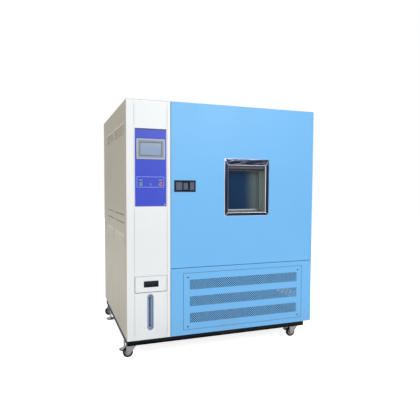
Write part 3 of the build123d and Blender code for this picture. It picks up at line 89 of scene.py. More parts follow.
# Grille plate
BAND_LOW, BAND_PITCH, BAND_RISE = 0.2277, 0.129, 0.0082
ROW_PITCH = 0.0083
HOLE_LEFT, HOLE_PITCH = -0.2951, 0.017

# Window
RING_X, RING_Z, RING_FRONT = (-0.023, 0.366), (1.045, 1.496), -0.693
GLASS_X, GLASS_Z = (0.010, 0.333), (1.075, 1.443)
GLASS_FRONT, GLASS_BACK = -0.596, -0.548

# Test space and door
FAN_X, FAN_Z = 0.165, 1.470
PORT_Y, PORT_Z = -0.188, 1.280
HINGE_Y = -0.588
HINGE_HEIGHTS = (0.810, 1.280, 1.750)


def srgb(red, green, blue):
    """A screen colour from 0 to 255 as the linear colour a shader takes."""
    linear = [v / 255 / 12.92 if v < 11 else ((v / 255 + 0.055) / 1.055) ** 2.4 for v in (red, green, blue)]
    return (*linear, 1.0)


def darker(colour, share):
    """A colour at a share of its light."""
    return tuple(v * share for v in colour[:3]) + (1.0,)


class Number:
    """A number socket, on which sums are written as plain expressions."""

    def __init__(self, graph, socket):
        self.graph = graph
        self.socket = socket

    def __add__(self, other):
        return self.graph.math("ADD", self, other)

    def __sub__(self, other):
        return self.graph.math("SUBTRACT", self, other)

    def __rsub__(self, other):
        return self.graph.math("SUBTRACT", other, self)

    def __mul__(self, other):
        return self.graph.math("MULTIPLY", self, other)

    def __lt__(self, other):
        return self.graph.math("LESS_THAN", self, other)

    __radd__, __rmul__ = __add__, __mul__


class Graph:
    """The nodes of one material or of the world."""

    def __init__(self, tree):
        self.tree = tree

    def node(self, kind, settings=None, sockets=None):
        """Adds a node: its settings first, then the value or the link of each socket."""
        made = self.tree.nodes.new("ShaderNode" + kind)
        for key, value in (settings or {}).items():
            setattr(made, key, value)
        for key, value in (sockets or {}).items():
            self.give(made.inputs[key], value)
        return made

    def give(self, socket, value):
        """Links a socket to another, or sets its value."""
        if isinstance(value, Number):
            value = value.socket
        if isinstance(value, bpy.types.NodeSocket):
            self.tree.links.new(value, socket)
        else:
            socket.default_value = value

    def math(self, operation, *terms):
        made = self.node("Math", {"operation": operation}, dict(enumerate(terms)))
        return Number(self, made.outputs[0])

    def mix(self, share, first, second):
        """The first colour where share is 0, the second where it is 1."""
        return self.node("Mix", {"data_type": "RGBA"}, {0: share, 6: first, 7: second}).outputs[2]

    def seen(self):
        """1 for what the camera sees straight, mirrored or through glass; 0 for light on the object."""
        rays = self.node("LightPath").outputs
        indirect = self.math("MAXIMUM", rays["Is Glossy Ray"], rays["Is Transmission Ray"])
        return self.math("MAXIMUM", rays["Is Camera Ray"], indirect)


class Finish(Graph):
    """One finish: its material, its shader and where each point of the surface is."""

    def __init__(self, name, slot, **sockets):
        self.material = bpy.data.materials.new(name)
        self.material.use_nodes = True
        self.slot = slot
        super().__init__(self.material.node_tree)
        self.shader = self.tree.nodes["Principled BSDF"]
        self.place = self.node("TexCoord").outputs["Object"]
        split = self.node("SeparateXYZ", None, {0: self.place})
        self.x, self.y, self.z = (Number(self, out) for out in split.outputs)
        self.set(**sockets)

    def set(self, **sockets):
        """Sets or links the shader's sockets; an underscore stands for a space."""
        for key, value in sockets.items():
            self.give(self.shader.inputs[key.replace("_", " ")], value)
        return self

    def colour(self):
        """The socket that the shader takes its colour from so far."""
        return self.shader.inputs["Base Color"].links[0].from_socket

    def noise(self, scale, detail=2.0, stretch=(1, 1, 1)):
        """A cloudy pattern, from 0 to 1."""
        turned = self.node("Mapping", None, {"Vector": self.place, "Scale": stretch})
        return Number(self, self.node(
            "TexNoise", None, {"Vector": turned.outputs[0], "Scale": scale, "Detail": detail}).outputs[0])

    def cells(self, scale):
        """Distance to the nearest of scattered points."""
        return Number(self, self.node(
            "TexVoronoi", None, {"Vector": self.place, "Scale": scale}).outputs["Distance"])

    def span(self, number, low, high):
        """0 up to low, 1 from high on, and smooth between."""
        return Number(self, self.node("MapRange", {"interpolation_type": "SMOOTHSTEP"}, {
            "Value": number, "From Min": low, "From Max": high}).outputs[0])

    def within(self, number, low, high, soft=0.0004):
        """1 between low and high."""
        return self.span(number, low - soft, low + soft) * (1 - self.span(number, high - soft, high + soft))

    def bump(self, height, depth, strength=1.0):
        """Raises the surface by a pattern times a depth in metres."""
        made = self.node("Bump", None, {"Height": height, "Distance": depth, "Strength": strength})
        self.set(Normal=made.outputs[0])
        return self


def powder_coat(name, slot, colour, roughness=0.36, dust=0.10):
    """Sprayed paint: fine orange peel, slow unevenness, and dust that gathers low down."""
    coat = Finish(name, slot)
    cloud = coat.noise(1.4, 3)
    low = 1 - coat.span(coat.z, 0.14, 0.42)
    smears = coat.span(coat.noise(5.0, 4, (1, 1, 0.35)), 0.52, 0.75)
    tone = coat.mix(cloud, darker(colour, 0.955), darker(colour, 1.03))
    grey = srgb(150, 145, 134)
    coat.set(Base_Color=coat.mix(low * (0.35 + smears) * dust + smears * 0.02, tone, grey))
    coat.set(Roughness=roughness + smears * 0.07 + cloud * 0.05)
    return coat.bump(coat.noise(420, 2) + coat.noise(95, 1) * 0.6, 0.00012, 0.35)


def metal(name, slot, colour, roughness, streak=None, spangle=0.0):
    """Bare metal, with grinding marks along one axis or blotches of plating."""
    bare = Finish(name, slot, Metallic=1.0)
    cloud = bare.noise(9, 3)
    if streak is None:
        grain = bare.noise(140, 3)
        depth = 0.00004
    else:
        grain = bare.noise(1, 3, tuple(9 if i == streak else 700 for i in range(3)))
        depth = 0.00003
    blotch = bare.cells(150) * spangle
    tone = bare.mix(cloud, darker(colour, 0.82), colour)
    bare.set(Base_Color=bare.mix(grain * 0.5 + blotch, tone, darker(colour, 0.6)))
    bare.set(Roughness=roughness + (grain - 0.5) * 0.22 + cloud * 0.08)
    return bare.bump(grain, depth, 0.5)


def plastic(name, slot, colour, roughness=0.45, grain=520, worn=0.06):
    """Moulded plastic with a fine texture and slightly paler rubbed places."""
    moulded = Finish(name, slot)
    cloud = moulded.noise(26, 3)
    rubbed = moulded.span(moulded.noise(60, 4), 0.55, 0.8)
    tone = moulded.mix(cloud, darker(colour, 0.9), darker(colour, 1.08))
    moulded.set(Base_Color=moulded.mix(rubbed * worn, tone, srgb(190, 190, 190)))
    moulded.set(Roughness=roughness - rubbed * 0.12 + cloud * 0.06)
    return moulded.bump(moulded.noise(grain, 2), 0.00008, 0.5)


def rubber(name, slot, colour, dust):
    """Rubber with dust in its pores."""
    soft = Finish(name, slot)
    grime = soft.span(soft.noise(38, 4), 0.45, 0.8)
    soft.set(Base_Color=soft.mix(grime * dust, colour, srgb(120, 116, 108)))
    soft.set(Roughness=0.62 + grime * 0.2)
    return soft.bump(soft.noise(800, 2), 0.0001, 0.6)


def foam(name, slot):
    """Cut polyurethane foam with open cells and a skin that browns in patches."""
    cut = Finish(name, slot, Roughness=0.9)
    pores = cut.cells(260)
    patches = cut.noise(7, 4)
    tone = cut.mix(patches, srgb(226, 206, 150), srgb(240, 228, 190))
    cut.set(Base_Color=cut.mix(cut.span(pores, 0.1, 0.5) * 0.4, tone, srgb(190, 165, 110)))
    return cut.bump(pores, 0.0008, 0.8)


# Finishes
WHITE = powder_coat("white_paint", "painted_white", srgb(245, 247, 246))
# The sides, rear and roof take a warmer, darker copy of the white paint: partly a warm paint, partly painted
# shade for the shaded side.
SIDE_PAINT_AND_SHADE = powder_coat("side_paint_and_shade", "painted_side", srgb(186, 177, 154))
SIDE_PAINT_AND_SHADE.set(Specular_IOR_Level=0.12)
# Painted highlight: paler patches on the left side where the louvre banks stand, for light caught by the
# louvre hoods.
LOUVRES = SIDE_PAINT_AND_SHADE.within(SIDE_PAINT_AND_SHADE.z, *UPPER_LOUVRES, 0.002) + SIDE_PAINT_AND_SHADE.within(SIDE_PAINT_AND_SHADE.z, *LOWER_LOUVRES, 0.002)
BANKS = SIDE_PAINT_AND_SHADE.within(SIDE_PAINT_AND_SHADE.y, *FRONT_BANK, 0.002) + SIDE_PAINT_AND_SHADE.within(SIDE_PAINT_AND_SHADE.y, *REAR_BANK, 0.002)
SIDE_PAINT_AND_SHADE.set(Base_Color=SIDE_PAINT_AND_SHADE.mix(
    LOUVRES * BANKS * (SIDE_PAINT_AND_SHADE.x < LEFT + 0.001) * 0.8, SIDE_PAINT_AND_SHADE.colour(), srgb(232, 222, 208)))
BLUE = powder_coat("blue_paint", "painted_blue", srgb(116, 191, 246))
PANEL = powder_coat("panel_blue_paint", "panel_blue", srgb(48, 70, 202), 0.3, 0.0)
BLACK_STEEL = powder_coat("black_frame_paint", "black_steel", srgb(6, 10, 20), 0.55, 0.02)
BLACK_STEEL.set(Specular_IOR_Level=0.1)
ZINC = metal("zinc_plate", "zinc", srgb(196, 198, 200), 0.38, spangle=0.25)
STAINLESS = metal("ground_stainless", "stainless", srgb(188, 190, 192), 0.34, streak=0)
UPRIGHT_STAINLESS = metal("upright_ground_stainless", "stainless", srgb(188, 190, 192), 0.34, streak=2)
BRIGHT = metal("polished_steel", "bright_steel", srgb(214, 216, 218), 0.16)
ALUMINIUM = metal("mill_aluminium", "aluminium", srgb(200, 203, 206), 0.4, streak=2)
# Near-black fins: partly a black coating, partly painted shade for the dark inside seen through the grille
# holes.
BLACK_FINS_AND_SHADE = powder_coat("black_coated_fins_and_shade", "aluminium", srgb(16, 18, 24), 0.6, 0.0)
WORN_ZINC = metal("worn_zinc_plate", "zinc", srgb(150, 148, 146), 0.34, spangle=0.3)
DARK_ZINC = metal("dark_zinc_plate", "zinc", srgb(62, 66, 78), 0.4)
WHEEL_GREY = plastic("wheel_moulding", "tyre_rubber", srgb(112, 110, 108), 0.42)
GREY = plastic("grey_moulding", "grey_plastic", srgb(176, 182, 192))
GAUGE_GREY = plastic("gauge_moulding", "grey_plastic", srgb(160, 178, 206))
BEZEL_GREY = plastic("bezel_moulding", "grey_plastic", srgb(140, 148, 164))
BLACK = plastic("black_moulding", "black_plastic", srgb(20, 25, 40), 0.45).set(Specular_IOR_Level=0.2)
TUBE_GREY = plastic("tube_moulding", "black_plastic", srgb(62, 70, 90), 0.4)
LATCH_GREY = plastic("latch_moulding", "black_steel", srgb(70, 79, 102), 0.42)
GREEN = plastic("green_lens", "green_plastic", srgb(38, 150, 124), 0.22, 300, 0.02)
# Dark blue for the strip in the grille plate's seam: painted shade for the gap.
SEAM_SHADE_BLUE = plastic("seam_strip", "painted_blue", srgb(44, 84, 130), 0.6)
RED = plastic("red_lens", "red_plastic", srgb(214, 62, 66), 0.25, 300, 0.02)
SEAL = rubber("seal_rubber", "seal_rubber", srgb(52, 53, 55), 0.1)
TYRE = rubber("tyre_rubber", "tyre_rubber", srgb(11, 11, 12), 0.06).set(Specular_IOR_Level=0.15)
FOAM = foam("polyurethane_foam", "foam")

MARK = Finish("printed_mark", "painted_white", Roughness=0.5)
MARK.set(Base_Color=MARK.mix(MARK.noise(300, 2), srgb(196, 202, 240), srgb(224, 228, 250)))


def perforated_paint():
    """Blue paint with painted shade round each punched hole: a dark navy ring for the dark inside seen
    through it.
    """
    coat = powder_coat("perforated_blue_paint", "painted_blue", srgb(116, 191, 246))
    up = coat.math("FLOORED_MODULO", coat.z - BAND_LOW, BAND_PITCH)
    row = coat.math("ROUND", (up - BAND_RISE) * (1 / ROW_PITCH))
    off_z = up - BAND_RISE - row * ROW_PITCH
    along = coat.x - HOLE_LEFT - coat.math("FLOORED_MODULO", row, 2.0) * (HOLE_PITCH / 2)
    off_x = along - coat.math("ROUND", along * (1 / HOLE_PITCH)) * HOLE_PITCH
    reach = coat.math("POWER", off_x * off_x + off_z * off_z, 0.5)
    band = coat.within(up, 0.002, 0.0795) * coat.within(coat.x, -0.3, 0.639)
    # Painted shade: a dark navy ring round each hole.
    rim = (1 - coat.span(reach, 0.0047, 0.0058)) * band
    return coat.set(Base_Color=coat.mix(rim * 0.95, coat.colour(), srgb(34, 40, 76)))


def display():
    """The screen under its glass: even grey blue with soft streaks of light across it."""
    lit = Finish("screen_face", "screen_glass", Coat_Weight=1.0, Coat_Roughness=0.06, Specular_IOR_Level=0.4)
    across = lit.noise(1, 2, (7, 7, 16))
    glow = lit.span(lit.z, 1.505, 1.592)
    tone = lit.mix(across, srgb(122, 146, 184), srgb(150, 170, 196))
    lit.set(Base_Color=lit.mix(glow * 0.35, tone, srgb(160, 176, 200)))
    lit.set(Roughness=0.18 + across * 0.1)
    return lit


def window_steel():
    """Mirror-polished steel with a painted reflection: mostly a dark room, with streaks of light and bright
    mitres painted in.
    """
    mirror = Finish("window_steel", "bright_steel", Metallic=1.0)
    flat = 1 - mirror.span(mirror.y, -0.6926, -0.692)
    # Painted reflection: a dark room, with streaks of light across the top band.
    streaks = mirror.span(mirror.noise(1, 4, (14, 14, 120)), 0.5, 0.72)
    band = mirror.span(mirror.z, 1.443, 1.452)
    uneven = mirror.noise(6, 3)
    dark = mirror.mix(uneven, srgb(20, 24, 44), srgb(50, 56, 76))
    tone = mirror.mix(streaks * band * 0.75, dark, srgb(150, 164, 190))
    corners = [
        ((RING_X[1], RING_Z[1]), (GLASS_X[1], GLASS_Z[1])),
        ((RING_X[0], RING_Z[0]), (GLASS_X[0], GLASS_Z[0])),
        ((RING_X[1], RING_Z[0]), (GLASS_X[1], GLASS_Z[0])),
        ((RING_X[0], RING_Z[1]), (GLASS_X[0], GLASS_Z[1])),
    ]
    # Painted highlights along the four mitres.
    mitre_highlight = 0.0
    for (x0, z0), (x1, z1) in corners:
        long = math.hypot(x1 - x0, z1 - z0)
        off = (mirror.x - x0) * ((z1 - z0) / long) - (mirror.z - z0) * ((x1 - x0) / long)
        beside = mirror.within(mirror.x, min(x0, x1), max(x0, x1))
        near = beside * mirror.within(mirror.z, min(z0, z1), max(z0, z1))
        mitre_highlight = near * (1 - mirror.span(mirror.math("ABSOLUTE", off), 0.0006, 0.0028)) + mitre_highlight
    tone = mirror.mix(mitre_highlight * 0.8, tone, srgb(200, 208, 220))
    mirror.set(Base_Color=mirror.mix(flat, srgb(206, 212, 222), tone))
    mirror.set(Roughness=0.1 + uneven * 0.1)
    return mirror.bump(mirror.noise(30, 3), 0.0002, 0.15)


def pane_glass(name, colour, alpha):
    """Coated glass: a dark tint that lets part of the light through; the dense tint is partly painted shade
    for the dark space behind.
    """
    clear = Finish(name, "glass", Alpha=alpha, Specular_IOR_Level=0.16)
    film = clear.noise(3, 3)
    tone = clear.mix(film, darker(colour, 0.75), darker(colour, 1.2))
    # Painted sheen: the glass turns paler towards its right side, for the lit inner wall seen through it.
    painted_sheen = clear.span(clear.x + film * 0.06, 0.2, 0.33)
    clear.set(Base_Color=clear.mix(painted_sheen, tone, srgb(104, 118, 118)))
    clear.set(Roughness=0.06 + film * 0.05)
    return clear


PERFORATED_BLUE = perforated_paint()
SCREEN = display()
WINDOW_STEEL = window_steel()
REVEAL = plastic("reveal_lining", "bright_steel", srgb(150, 158, 146), 0.5)
HOOD = plastic("hood_moulding", "bright_steel", srgb(64, 62, 66), 0.5)
SILL_STEEL = metal("sill_steel", "bright_steel", srgb(128, 136, 142), 0.3, streak=0)
# The front pane is dark and mostly opaque: partly a blue tint, partly painted shade for the dark chamber
# behind it.
FRONT_PANE = pane_glass("front_pane", srgb(14, 58, 98), 0.84)
BACK_PANE = pane_glass("back_pane", srgb(30, 56, 70), 0.3)


def dress(finish, *names):
    """Gives CAD nodes a finish."""
    for name in names:
        node = nodes[name]
        if not node.material_slots:
            node.data.materials.append(finish.material)
        for held in node.material_slots:
            held.material = finish.material


def piece(name, made, finish, beside, stands_for=(), bevel=0.0):
    """Makes a bmesh a piece that rides with a CAD node's body and has a finish."""
    mesh = bpy.data.meshes.new(name)
    made.to_mesh(mesh)
    made.free()
    mesh.materials.append(finish.material)
    mesh.shade_smooth()
    mesh.set_sharp_from_angle(angle=math.radians(50))
    thing = bpy.data.objects.new(name, mesh)
    scene.collection.objects.link(thing)
    if bevel:
        rounding = thing.modifiers.new("rounding", "BEVEL")
        rounding.width = bevel
        rounding.segments = 2
        rounding.limit_method = "ANGLE"
        rounding.angle_limit = math.radians(40)
    thing.modifiers.new("even_shading", "WEIGHTED_NORMAL").keep_sharp = True
    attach(thing, nodes[beside]["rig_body"])
    if stands_for:
        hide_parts(*stands_for)
    return thing


def outward(made):
    """Merges doubles and points the faces outwards."""
    bmesh.ops.remove_doubles(made, verts=made.verts, dist=1e-6)
    bmesh.ops.recalc_face_normals(made, faces=made.faces)
    return made


def slab(made, low, high, edge=0.0, segments=2):
    """Adds a box between two corners, with rounded edges."""
    verts = bmesh.ops.create_cube(made, size=1.0)["verts"]
    bmesh.ops.scale(made, vec=[b - a for a, b in zip(low, high)], verts=verts)
    bmesh.ops.translate(made, vec=[(a + b) / 2 for a, b in zip(low, high)], verts=verts)
    if edge:
        around = list({e for v in verts for e in v.link_edges})
        bmesh.ops.bevel(
            made, geom=around, offset=edge, segments=segments, profile=0.5, affect="EDGES", material=-1
        )


def turned(made, centre, axis, profile, steps=40, closed=False):
    """Adds a round shape: a profile of (radius, distance along the axis) turned about the axis."""
    axis = Vector(axis)
    out = axis.orthogonal().normalized()
    start = Vector(centre)
    verts = [made.verts.new(start + out * radius + axis * along) for radius, along in profile]
    pairs = list(zip(verts, verts[1:]))
    if closed:
        pairs.append((verts[-1], verts[0]))
    edges = [made.edges.new(pair) for pair in pairs]
    bmesh.ops.spin(
        made, geom=verts + edges, cent=start, axis=axis, angle=math.tau, steps=steps, use_merge=True
    )


def bar(made, start, end, radius, sides=10):
    """Adds a round bar between two points."""
    start, end = Vector(start), Vector(end)
    along = end - start
    turn = Vector((0, 0, 1)).rotation_difference(along).to_matrix().to_4x4()
    bmesh.ops.create_cone(
        made, cap_ends=True, segments=sides, radius1=radius, radius2=radius, depth=along.length,
        matrix=Matrix.Translation((start + end) / 2) @ turn,
    )


def surround(made, xs, zs, ys, widths):
    """Adds a mitred rectangular ring facing -Y; widths are left, right, bottom and top."""
    left, right, low, high = widths
    outer = [(xs[0], zs[0]), (xs[1], zs[0]), (xs[1], zs[1]), (xs[0], zs[1])]
    inner = [(xs[0] + left, zs[0] + low), (xs[1] - right, zs[0] + low),
             (xs[1] - right, zs[1] - high), (xs[0] + left, zs[1] - high)]
    rings = [[made.verts.new((x, ys[0], z)) for x, z in ring] for ring in (outer, inner)]
    faces = [
        made.faces.new((rings[0][i], rings[0][i - 3], rings[1][i - 3], rings[1][i])) for i in range(4)
    ]
    moved = bmesh.ops.extrude_face_region(made, geom=faces)["geom"]
    verts = [v for v in moved if isinstance(v, bmesh.types.BMVert)]
    bmesh.ops.translate(made, vec=(0, ys[1] - ys[0], 0), verts=verts)


def softened(node, finish, width, pick):
    """Stands in for a CAD node with a copy whose picked edges are rounded."""
    made = bmesh.new()
    made.from_mesh(nodes[node].data)
    bmesh.ops.remove_doubles(made, verts=made.verts, dist=1e-6)
    bmesh.ops.dissolve_limit(made, angle_limit=math.radians(1), verts=made.verts, edges=made.edges)
    low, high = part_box(node)
    chosen = [
        e for e in made.edges
        if len(e.link_faces) == 2 and e.is_convex and e.calc_face_angle() > 0.7 and pick(e, low, high)
    ]
    bmesh.ops.bevel(
        made, geom=chosen, offset=width, segments=2, profile=0.5,
        affect="EDGES", material=-1, clamp_overlap=True,
    )
    return piece(node + "_sheet", made, finish, node, (node,))


def on_front(edge, low, high):
    """Edges in the node's front plane."""
    return all(abs(v.co.y - low.y) < 1e-5 for v in edge.verts)


def outer_box(edge, low, high):
    """The edges of the node's own box, apart from those in its back plane."""
    shared = 0
    for i in range(3):
        for side in (low[i], high[i]):
            if all(abs(v.co[i] - side) < 1e-5 for v in edge.verts):
                shared += 1
    return shared >= 2 and not all(abs(v.co.y - high.y) < 1e-5 for v in edge.verts)


def longer(limit):
    """Edges longer than a limit."""
    return lambda edge, low, high: edge.calc_length() > limit


def button_head(made, x, y, z, normal, radius=0.0045):
    """Adds a low round screw head with a socket."""
    high = radius * 0.55
    profile = [(0, high * 0.3), (radius * 0.42, high * 0.3), (radius * 0.5, high), (radius * 0.8, high * 0.8),
               (radius, high * 0.2), (radius, -0.0005)]
    turned(made, (x, y, z), normal, profile, 12)


def cabinet_sheets():
    """The painted sheets, with rounded folds."""
    softened("door_skin", BLUE, 0.0022, outer_box)
    softened("lower_front", BLUE, 0.0008, on_front)
    softened("column_cover", WHITE, 0.0008, on_front)
    softened("column_frame", WHITE, 0.0009, on_front)
    softened("water_drawer", WHITE, 0.0008, on_front)
    softened("roof_sheet", SIDE_PAINT_AND_SHADE, 0.0009, outer_box)
    softened("control_panel", PANEL, 0.0007, on_front)
    dress(PERFORATED_BLUE, "grille_plate")
    dress(SIDE_PAINT_AND_SHADE, "left_side", "right_side", "rear_sheet")
    softened("base_frame", BLACK_STEEL, 0.0012, outer_box)


def plate_screws():
    """The grille plate's screws and the dark strip in the seam round it, painted shade for the gap."""
    made = bmesh.new()
    surround(made, (-0.3516, 0.6856), (0.1784, 0.6186), (-0.6853, -0.6838), (0.0026,) * 4)
    piece("plate_seam_shade_strip", outward(made), SEAM_SHADE_BLUE, "lower_front")
    made = bmesh.new()
    for x in (-0.314, 0.648):
        for z in (0.202, 0.583):
            turned(made, (x, FRONT, z), (0, -1, 0), [
                (0, 0.0008), (0.0024, 0.0008), (0.003, 0.0024), (0.005, 0.002), (0.0062, 0.0006),
                (0.0062, -0.0002), (0.0024, -0.0002), (0.0024, -0.009), (0, -0.009)], 20)
    piece("plate_screw_heads", outward(made), DARK_ZINC, "plate_screws", ("plate_screws",))


def sheet_screws():
    """Rows of screws that hold the side, rear and roof sheets."""
    heads = bmesh.new()
    for y in (-0.62, -0.31, 0.0, 0.31, 0.62):
        for z in SCREW_ROWS:
            button_head(heads, LEFT, y, z, (-1, 0, 0))
            if z < 1 or y > -0.55:
                button_head(heads, RIGHT, y, z, (1, 0, 0))
    for x in (-0.74, -0.37, 0.0, 0.37, 0.74):
        for z in SCREW_ROWS:
            button_head(heads, x, REAR, z, (0, 1, 0))
        button_head(heads, x, 0.66, 1.9, (0, 0, 1))
    for z in (0.6, 1.03, 1.46):
        for x in (-0.755, 0.755):
            button_head(heads, x, REAR, z, (0, 1, 0))
    piece("sheet_screw_heads", outward(heads), ZINC, "rear_sheet")


def printed_words(name, words, x, z, size, y, finish, beside):
    """Flat raised words facing the front."""
    curve = bpy.data.curves.new(name, "FONT")
    curve.body = words
    curve.size = size
    curve.extrude = 0.0001
    curve.align_x = "CENTER"
    curve.align_y = "CENTER"
    drawn = bpy.data.objects.new(name, curve)
    scene.collection.objects.link(drawn)
    bpy.context.view_layer.update()
    made = bmesh.new()
    made.from_mesh(bpy.data.meshes.new_from_object(drawn))
    bpy.data.objects.remove(drawn)
    upright = Matrix.Translation((x, y, z)) @ Matrix.Rotation(math.radians(90), 4, "X")
    bmesh.ops.transform(made, matrix=upright, verts=made.verts)
    piece(name, made, finish, beside)


def control_column():
    """What stands on the control panel: a gasket along the top that is painted shade for the recess, edge
    trim, outline, captions and a fixing screw.
    """
    face = PANEL_FACE
    left, right = PANEL_X
    low, high = PANEL_Z
    made = bmesh.new()
    # A dark gasket strip along the top edge: painted shade for the recess above the panel.
    slab(made, (left, face - 0.0016, high - 0.0065), (right, face + 0.0004, high), 0.0004)
    piece("panel_top_shade_strip", made, SEAL, "control_panel")
    trim = metal("panel_edge_trim", "bright_steel", srgb(150, 146, 214), 0.35)
    made = bmesh.new()
    slab(made, (right - 0.0035, face - 0.0012, low), (right, face + 0.0004, high - 0.0065), 0.0004)
    slab(made, (left, face - 0.0012, low), (left + 0.0025, face + 0.0004, high - 0.0065), 0.0004)
    slab(made, (left + 0.0025, face - 0.0012, low), (right - 0.0035, face + 0.0004, low + 0.0035), 0.0004)
    piece("panel_trim", made, trim, "control_panel")
    made = bmesh.new()
    surround(made, (-0.702, -0.501), (1.2695, 1.3465), (face - 0.00025, face + 0.0001), (0.0018,) * 4)
    piece("button_outline", outward(made), MARK, "control_panel")
    printed_words("start_caption", "ON", START_X, CAPTION_Z, 0.014, face - 0.0001, MARK, "control_panel")
    printed_words("stop_caption", "OFF", STOP_X, CAPTION_Z, 0.014, face - 0.0001, MARK, "control_panel")
    made = bmesh.new()
    button_head(made, right - 0.012, face, low + 0.016, (0, -1, 0), 0.0048)
    piece("panel_screw", outward(made), BRIGHT, "control_panel")


def touchscreen():
    """The screen's moulded rim, its sunk bezel, the gasket round the glass and the glass."""
    made = bmesh.new()
    surround(made, (-0.7055, -0.4935), (1.473, 1.621), (-0.689, -0.6821), (0.013,) * 4)
    piece("touchscreen_rim", outward(made), GREY, "touchscreen_housing", ("touchscreen_housing",), 0.0014)
    made = bmesh.new()
    surround(made, (-0.6925, -0.5065), (1.486, 1.608), (-0.6862, -0.6425), (0.0125, 0.0125, 0.013, 0.013))
    piece("touchscreen_bezel", outward(made), BEZEL_GREY, "touchscreen_housing", bevel=0.0006)
    made = bmesh.new()
    surround(made, (-0.6805, -0.5185), (1.4985, 1.5955), (-0.6866, -0.6842), (0.0032, 0.0032, 0.0032, 0.0036))
    piece("touchscreen_gasket", outward(made), SEAL, "touchscreen_housing", bevel=0.0005)
    made = bmesh.new()
    slab(made, (-0.678, -0.6858, 1.501), (-0.521, -0.6838, 1.593), 0.0004)
    piece("touchscreen_face", made, SCREEN, "touchscreen_glass", ("touchscreen_glass",))


def push_buttons():
    """Bezel rings, the coloured lenses and the small port."""
    made = bmesh.new()
    for x in (START_X, STOP_X):
        turned(made, (x, PANEL_FACE, BUTTON_Z), (0, -1, 0), [
            (0.0108, -0.015), (0.0108, 0.0035), (0.0118, 0.005), (0.0128, 0.0048), (0.0145, 0.0025),
            (0.0145, 0.0), (0.0125, 0.0), (0.0125, -0.032), (0.0108, -0.032)], 40, True)
    turned(made, (PORT_X, PANEL_FACE, BUTTON_Z), (0, -1, 0), [
        (0.0035, -0.02), (0.0035, 0.0032), (0.0046, 0.0045), (0.0062, 0.0038), (0.007, 0.0012), (0.007, 0.0),
        (0.005, 0.0), (0.005, -0.02)], 32, True)
    piece("button_bezels", outward(made), BRIGHT, "button_rings", ("button_rings",))
    for x, colour, node in ((START_X, GREEN, "green_button"), (STOP_X, RED, "red_button")):
        made = bmesh.new()
        turned(made, (x, PANEL_FACE, BUTTON_Z), (0, -1, 0), [
            (0.0, 0.0074), (0.005, 0.0077), (0.0075, 0.0085), (0.0092, 0.009), (0.0102, 0.0083),
            (0.0105, 0.007), (0.0105, -0.011), (0.0, -0.011)], 40)
        piece(node + "_lens", outward(made), colour, node, (node,))


def drawer_and_gauge():
    """The drawer's cup pull and the level gauge with its tube."""
    softened("drawer_pull", BLACK, 0.0006, longer(0.004))
    # A dark gasket round the drawer, wider at its left and bottom as painted shade for the gap there.
    made = bmesh.new()
    surround(made, (-0.7212, -0.4792), (0.4922, 0.6148), (-0.6854, -0.6838), (0.0029, 0.0015, 0.0035, 0.0015))
    piece("drawer_shade_gasket", outward(made), SEAL, "column_cover")
    dress(GAUGE_GREY, "level_gauge")
    made = bmesh.new()
    turned(made, (-0.6055, -0.669, 0.2335), (0, 0, 1), [
        (0.0, 0.0), (0.0062, 0.0), (0.0068, 0.0008), (0.0068, 0.009), (0.0062, 0.0098), (0.0047, 0.01),
        (0.0044, 0.0115), (0.0044, 0.2085), (0.0047, 0.21), (0.0062, 0.2102), (0.0068, 0.211),
        (0.0068, 0.2192), (0.0062, 0.22), (0.0, 0.22)], 24)
    piece("gauge_tube", outward(made), TUBE_GREY, "level_gauge")


def window():
    """The polished ring, the reveal with its lamp hood and sill, the beads and the panes."""
    xs, zs = GLASS_X, GLASS_Z
    made = bmesh.new()
    surround(made, RING_X, RING_Z, (RING_FRONT, -0.6851), (0.033, 0.033, 0.030, 0.053))
    outer = [
        e for e in made.edges
        if all(abs(v.co.y - RING_FRONT) < 1e-5 for v in e.verts) and len(e.link_faces) == 2
        and e.calc_face_angle() > 1
    ]
    bmesh.ops.recalc_face_normals(made, faces=made.faces)
    bmesh.ops.bevel(made, geom=outer, offset=0.0042, segments=1, profile=0.5, affect="EDGES", material=-1)
    piece("window_ring", outward(made), WINDOW_STEEL, "window_frame", ("window_frame",))
    made = bmesh.new()
    lining = 0.002
    outer_x, outer_z = ((low - lining, high + lining) for low, high in (xs, zs))
    surround(made, outer_x, outer_z, (-0.6851, GLASS_BACK), (lining,) * 4)
    piece("window_reveal", outward(made), REVEAL, "window_frame")
    made = bmesh.new()
    slab(made, (xs[0], -0.671, 1.4175), (xs[1], -0.5965, zs[1]), 0.003, 3)
    piece("lamp_hood", made, HOOD, "window_frame")
    made = bmesh.new()
    # A black lip along the hood's lower front edge: painted shade for the hood's underside.
    slab(made, (xs[0], -0.6712, 1.4068), (xs[1], -0.600, 1.4178), 0.0012)
    piece("hood_shade_lip", made, BLACK, "window_frame")
    made = bmesh.new()
    slab(made, (xs[0], -0.606, zs[0]), (xs[1], -0.5965, zs[0] + 0.016), 0.002)
    piece("window_sill", made, SILL_STEEL, "window_frame")
    made = bmesh.new()
    surround(made, xs, (1.091, 1.4065), (-0.603, -0.5965), (0.0065, 0.0065, 0.004, 0.0015))
    surround(made, xs, zs, (-0.55, GLASS_BACK), (0.005,) * 4)
    piece("glazing_beads", outward(made), BRIGHT, "window_frame", bevel=0.0008)
    made = bmesh.new()
    slab(made, (xs[0], GLASS_FRONT, zs[0]), (xs[1], -0.590, zs[1]), 0.0006)
    piece("front_pane", made, FRONT_PANE, "window_panes", ("window_panes",))
    made = bmesh.new()
    for y in (-0.576, -0.556):
        slab(made, (xs[0], y, zs[0]), (xs[1], y + 0.006, zs[1]), 0.0006)
    piece("back_panes", made, BACK_PANE, "window_panes")
    made = bmesh.new()
    for y in (-0.590, -0.570):
        surround(made, xs, zs, (y, y + 0.014), (0.005,) * 4)
    piece("pane_spacers", outward(made), BLACK, "window_panes")


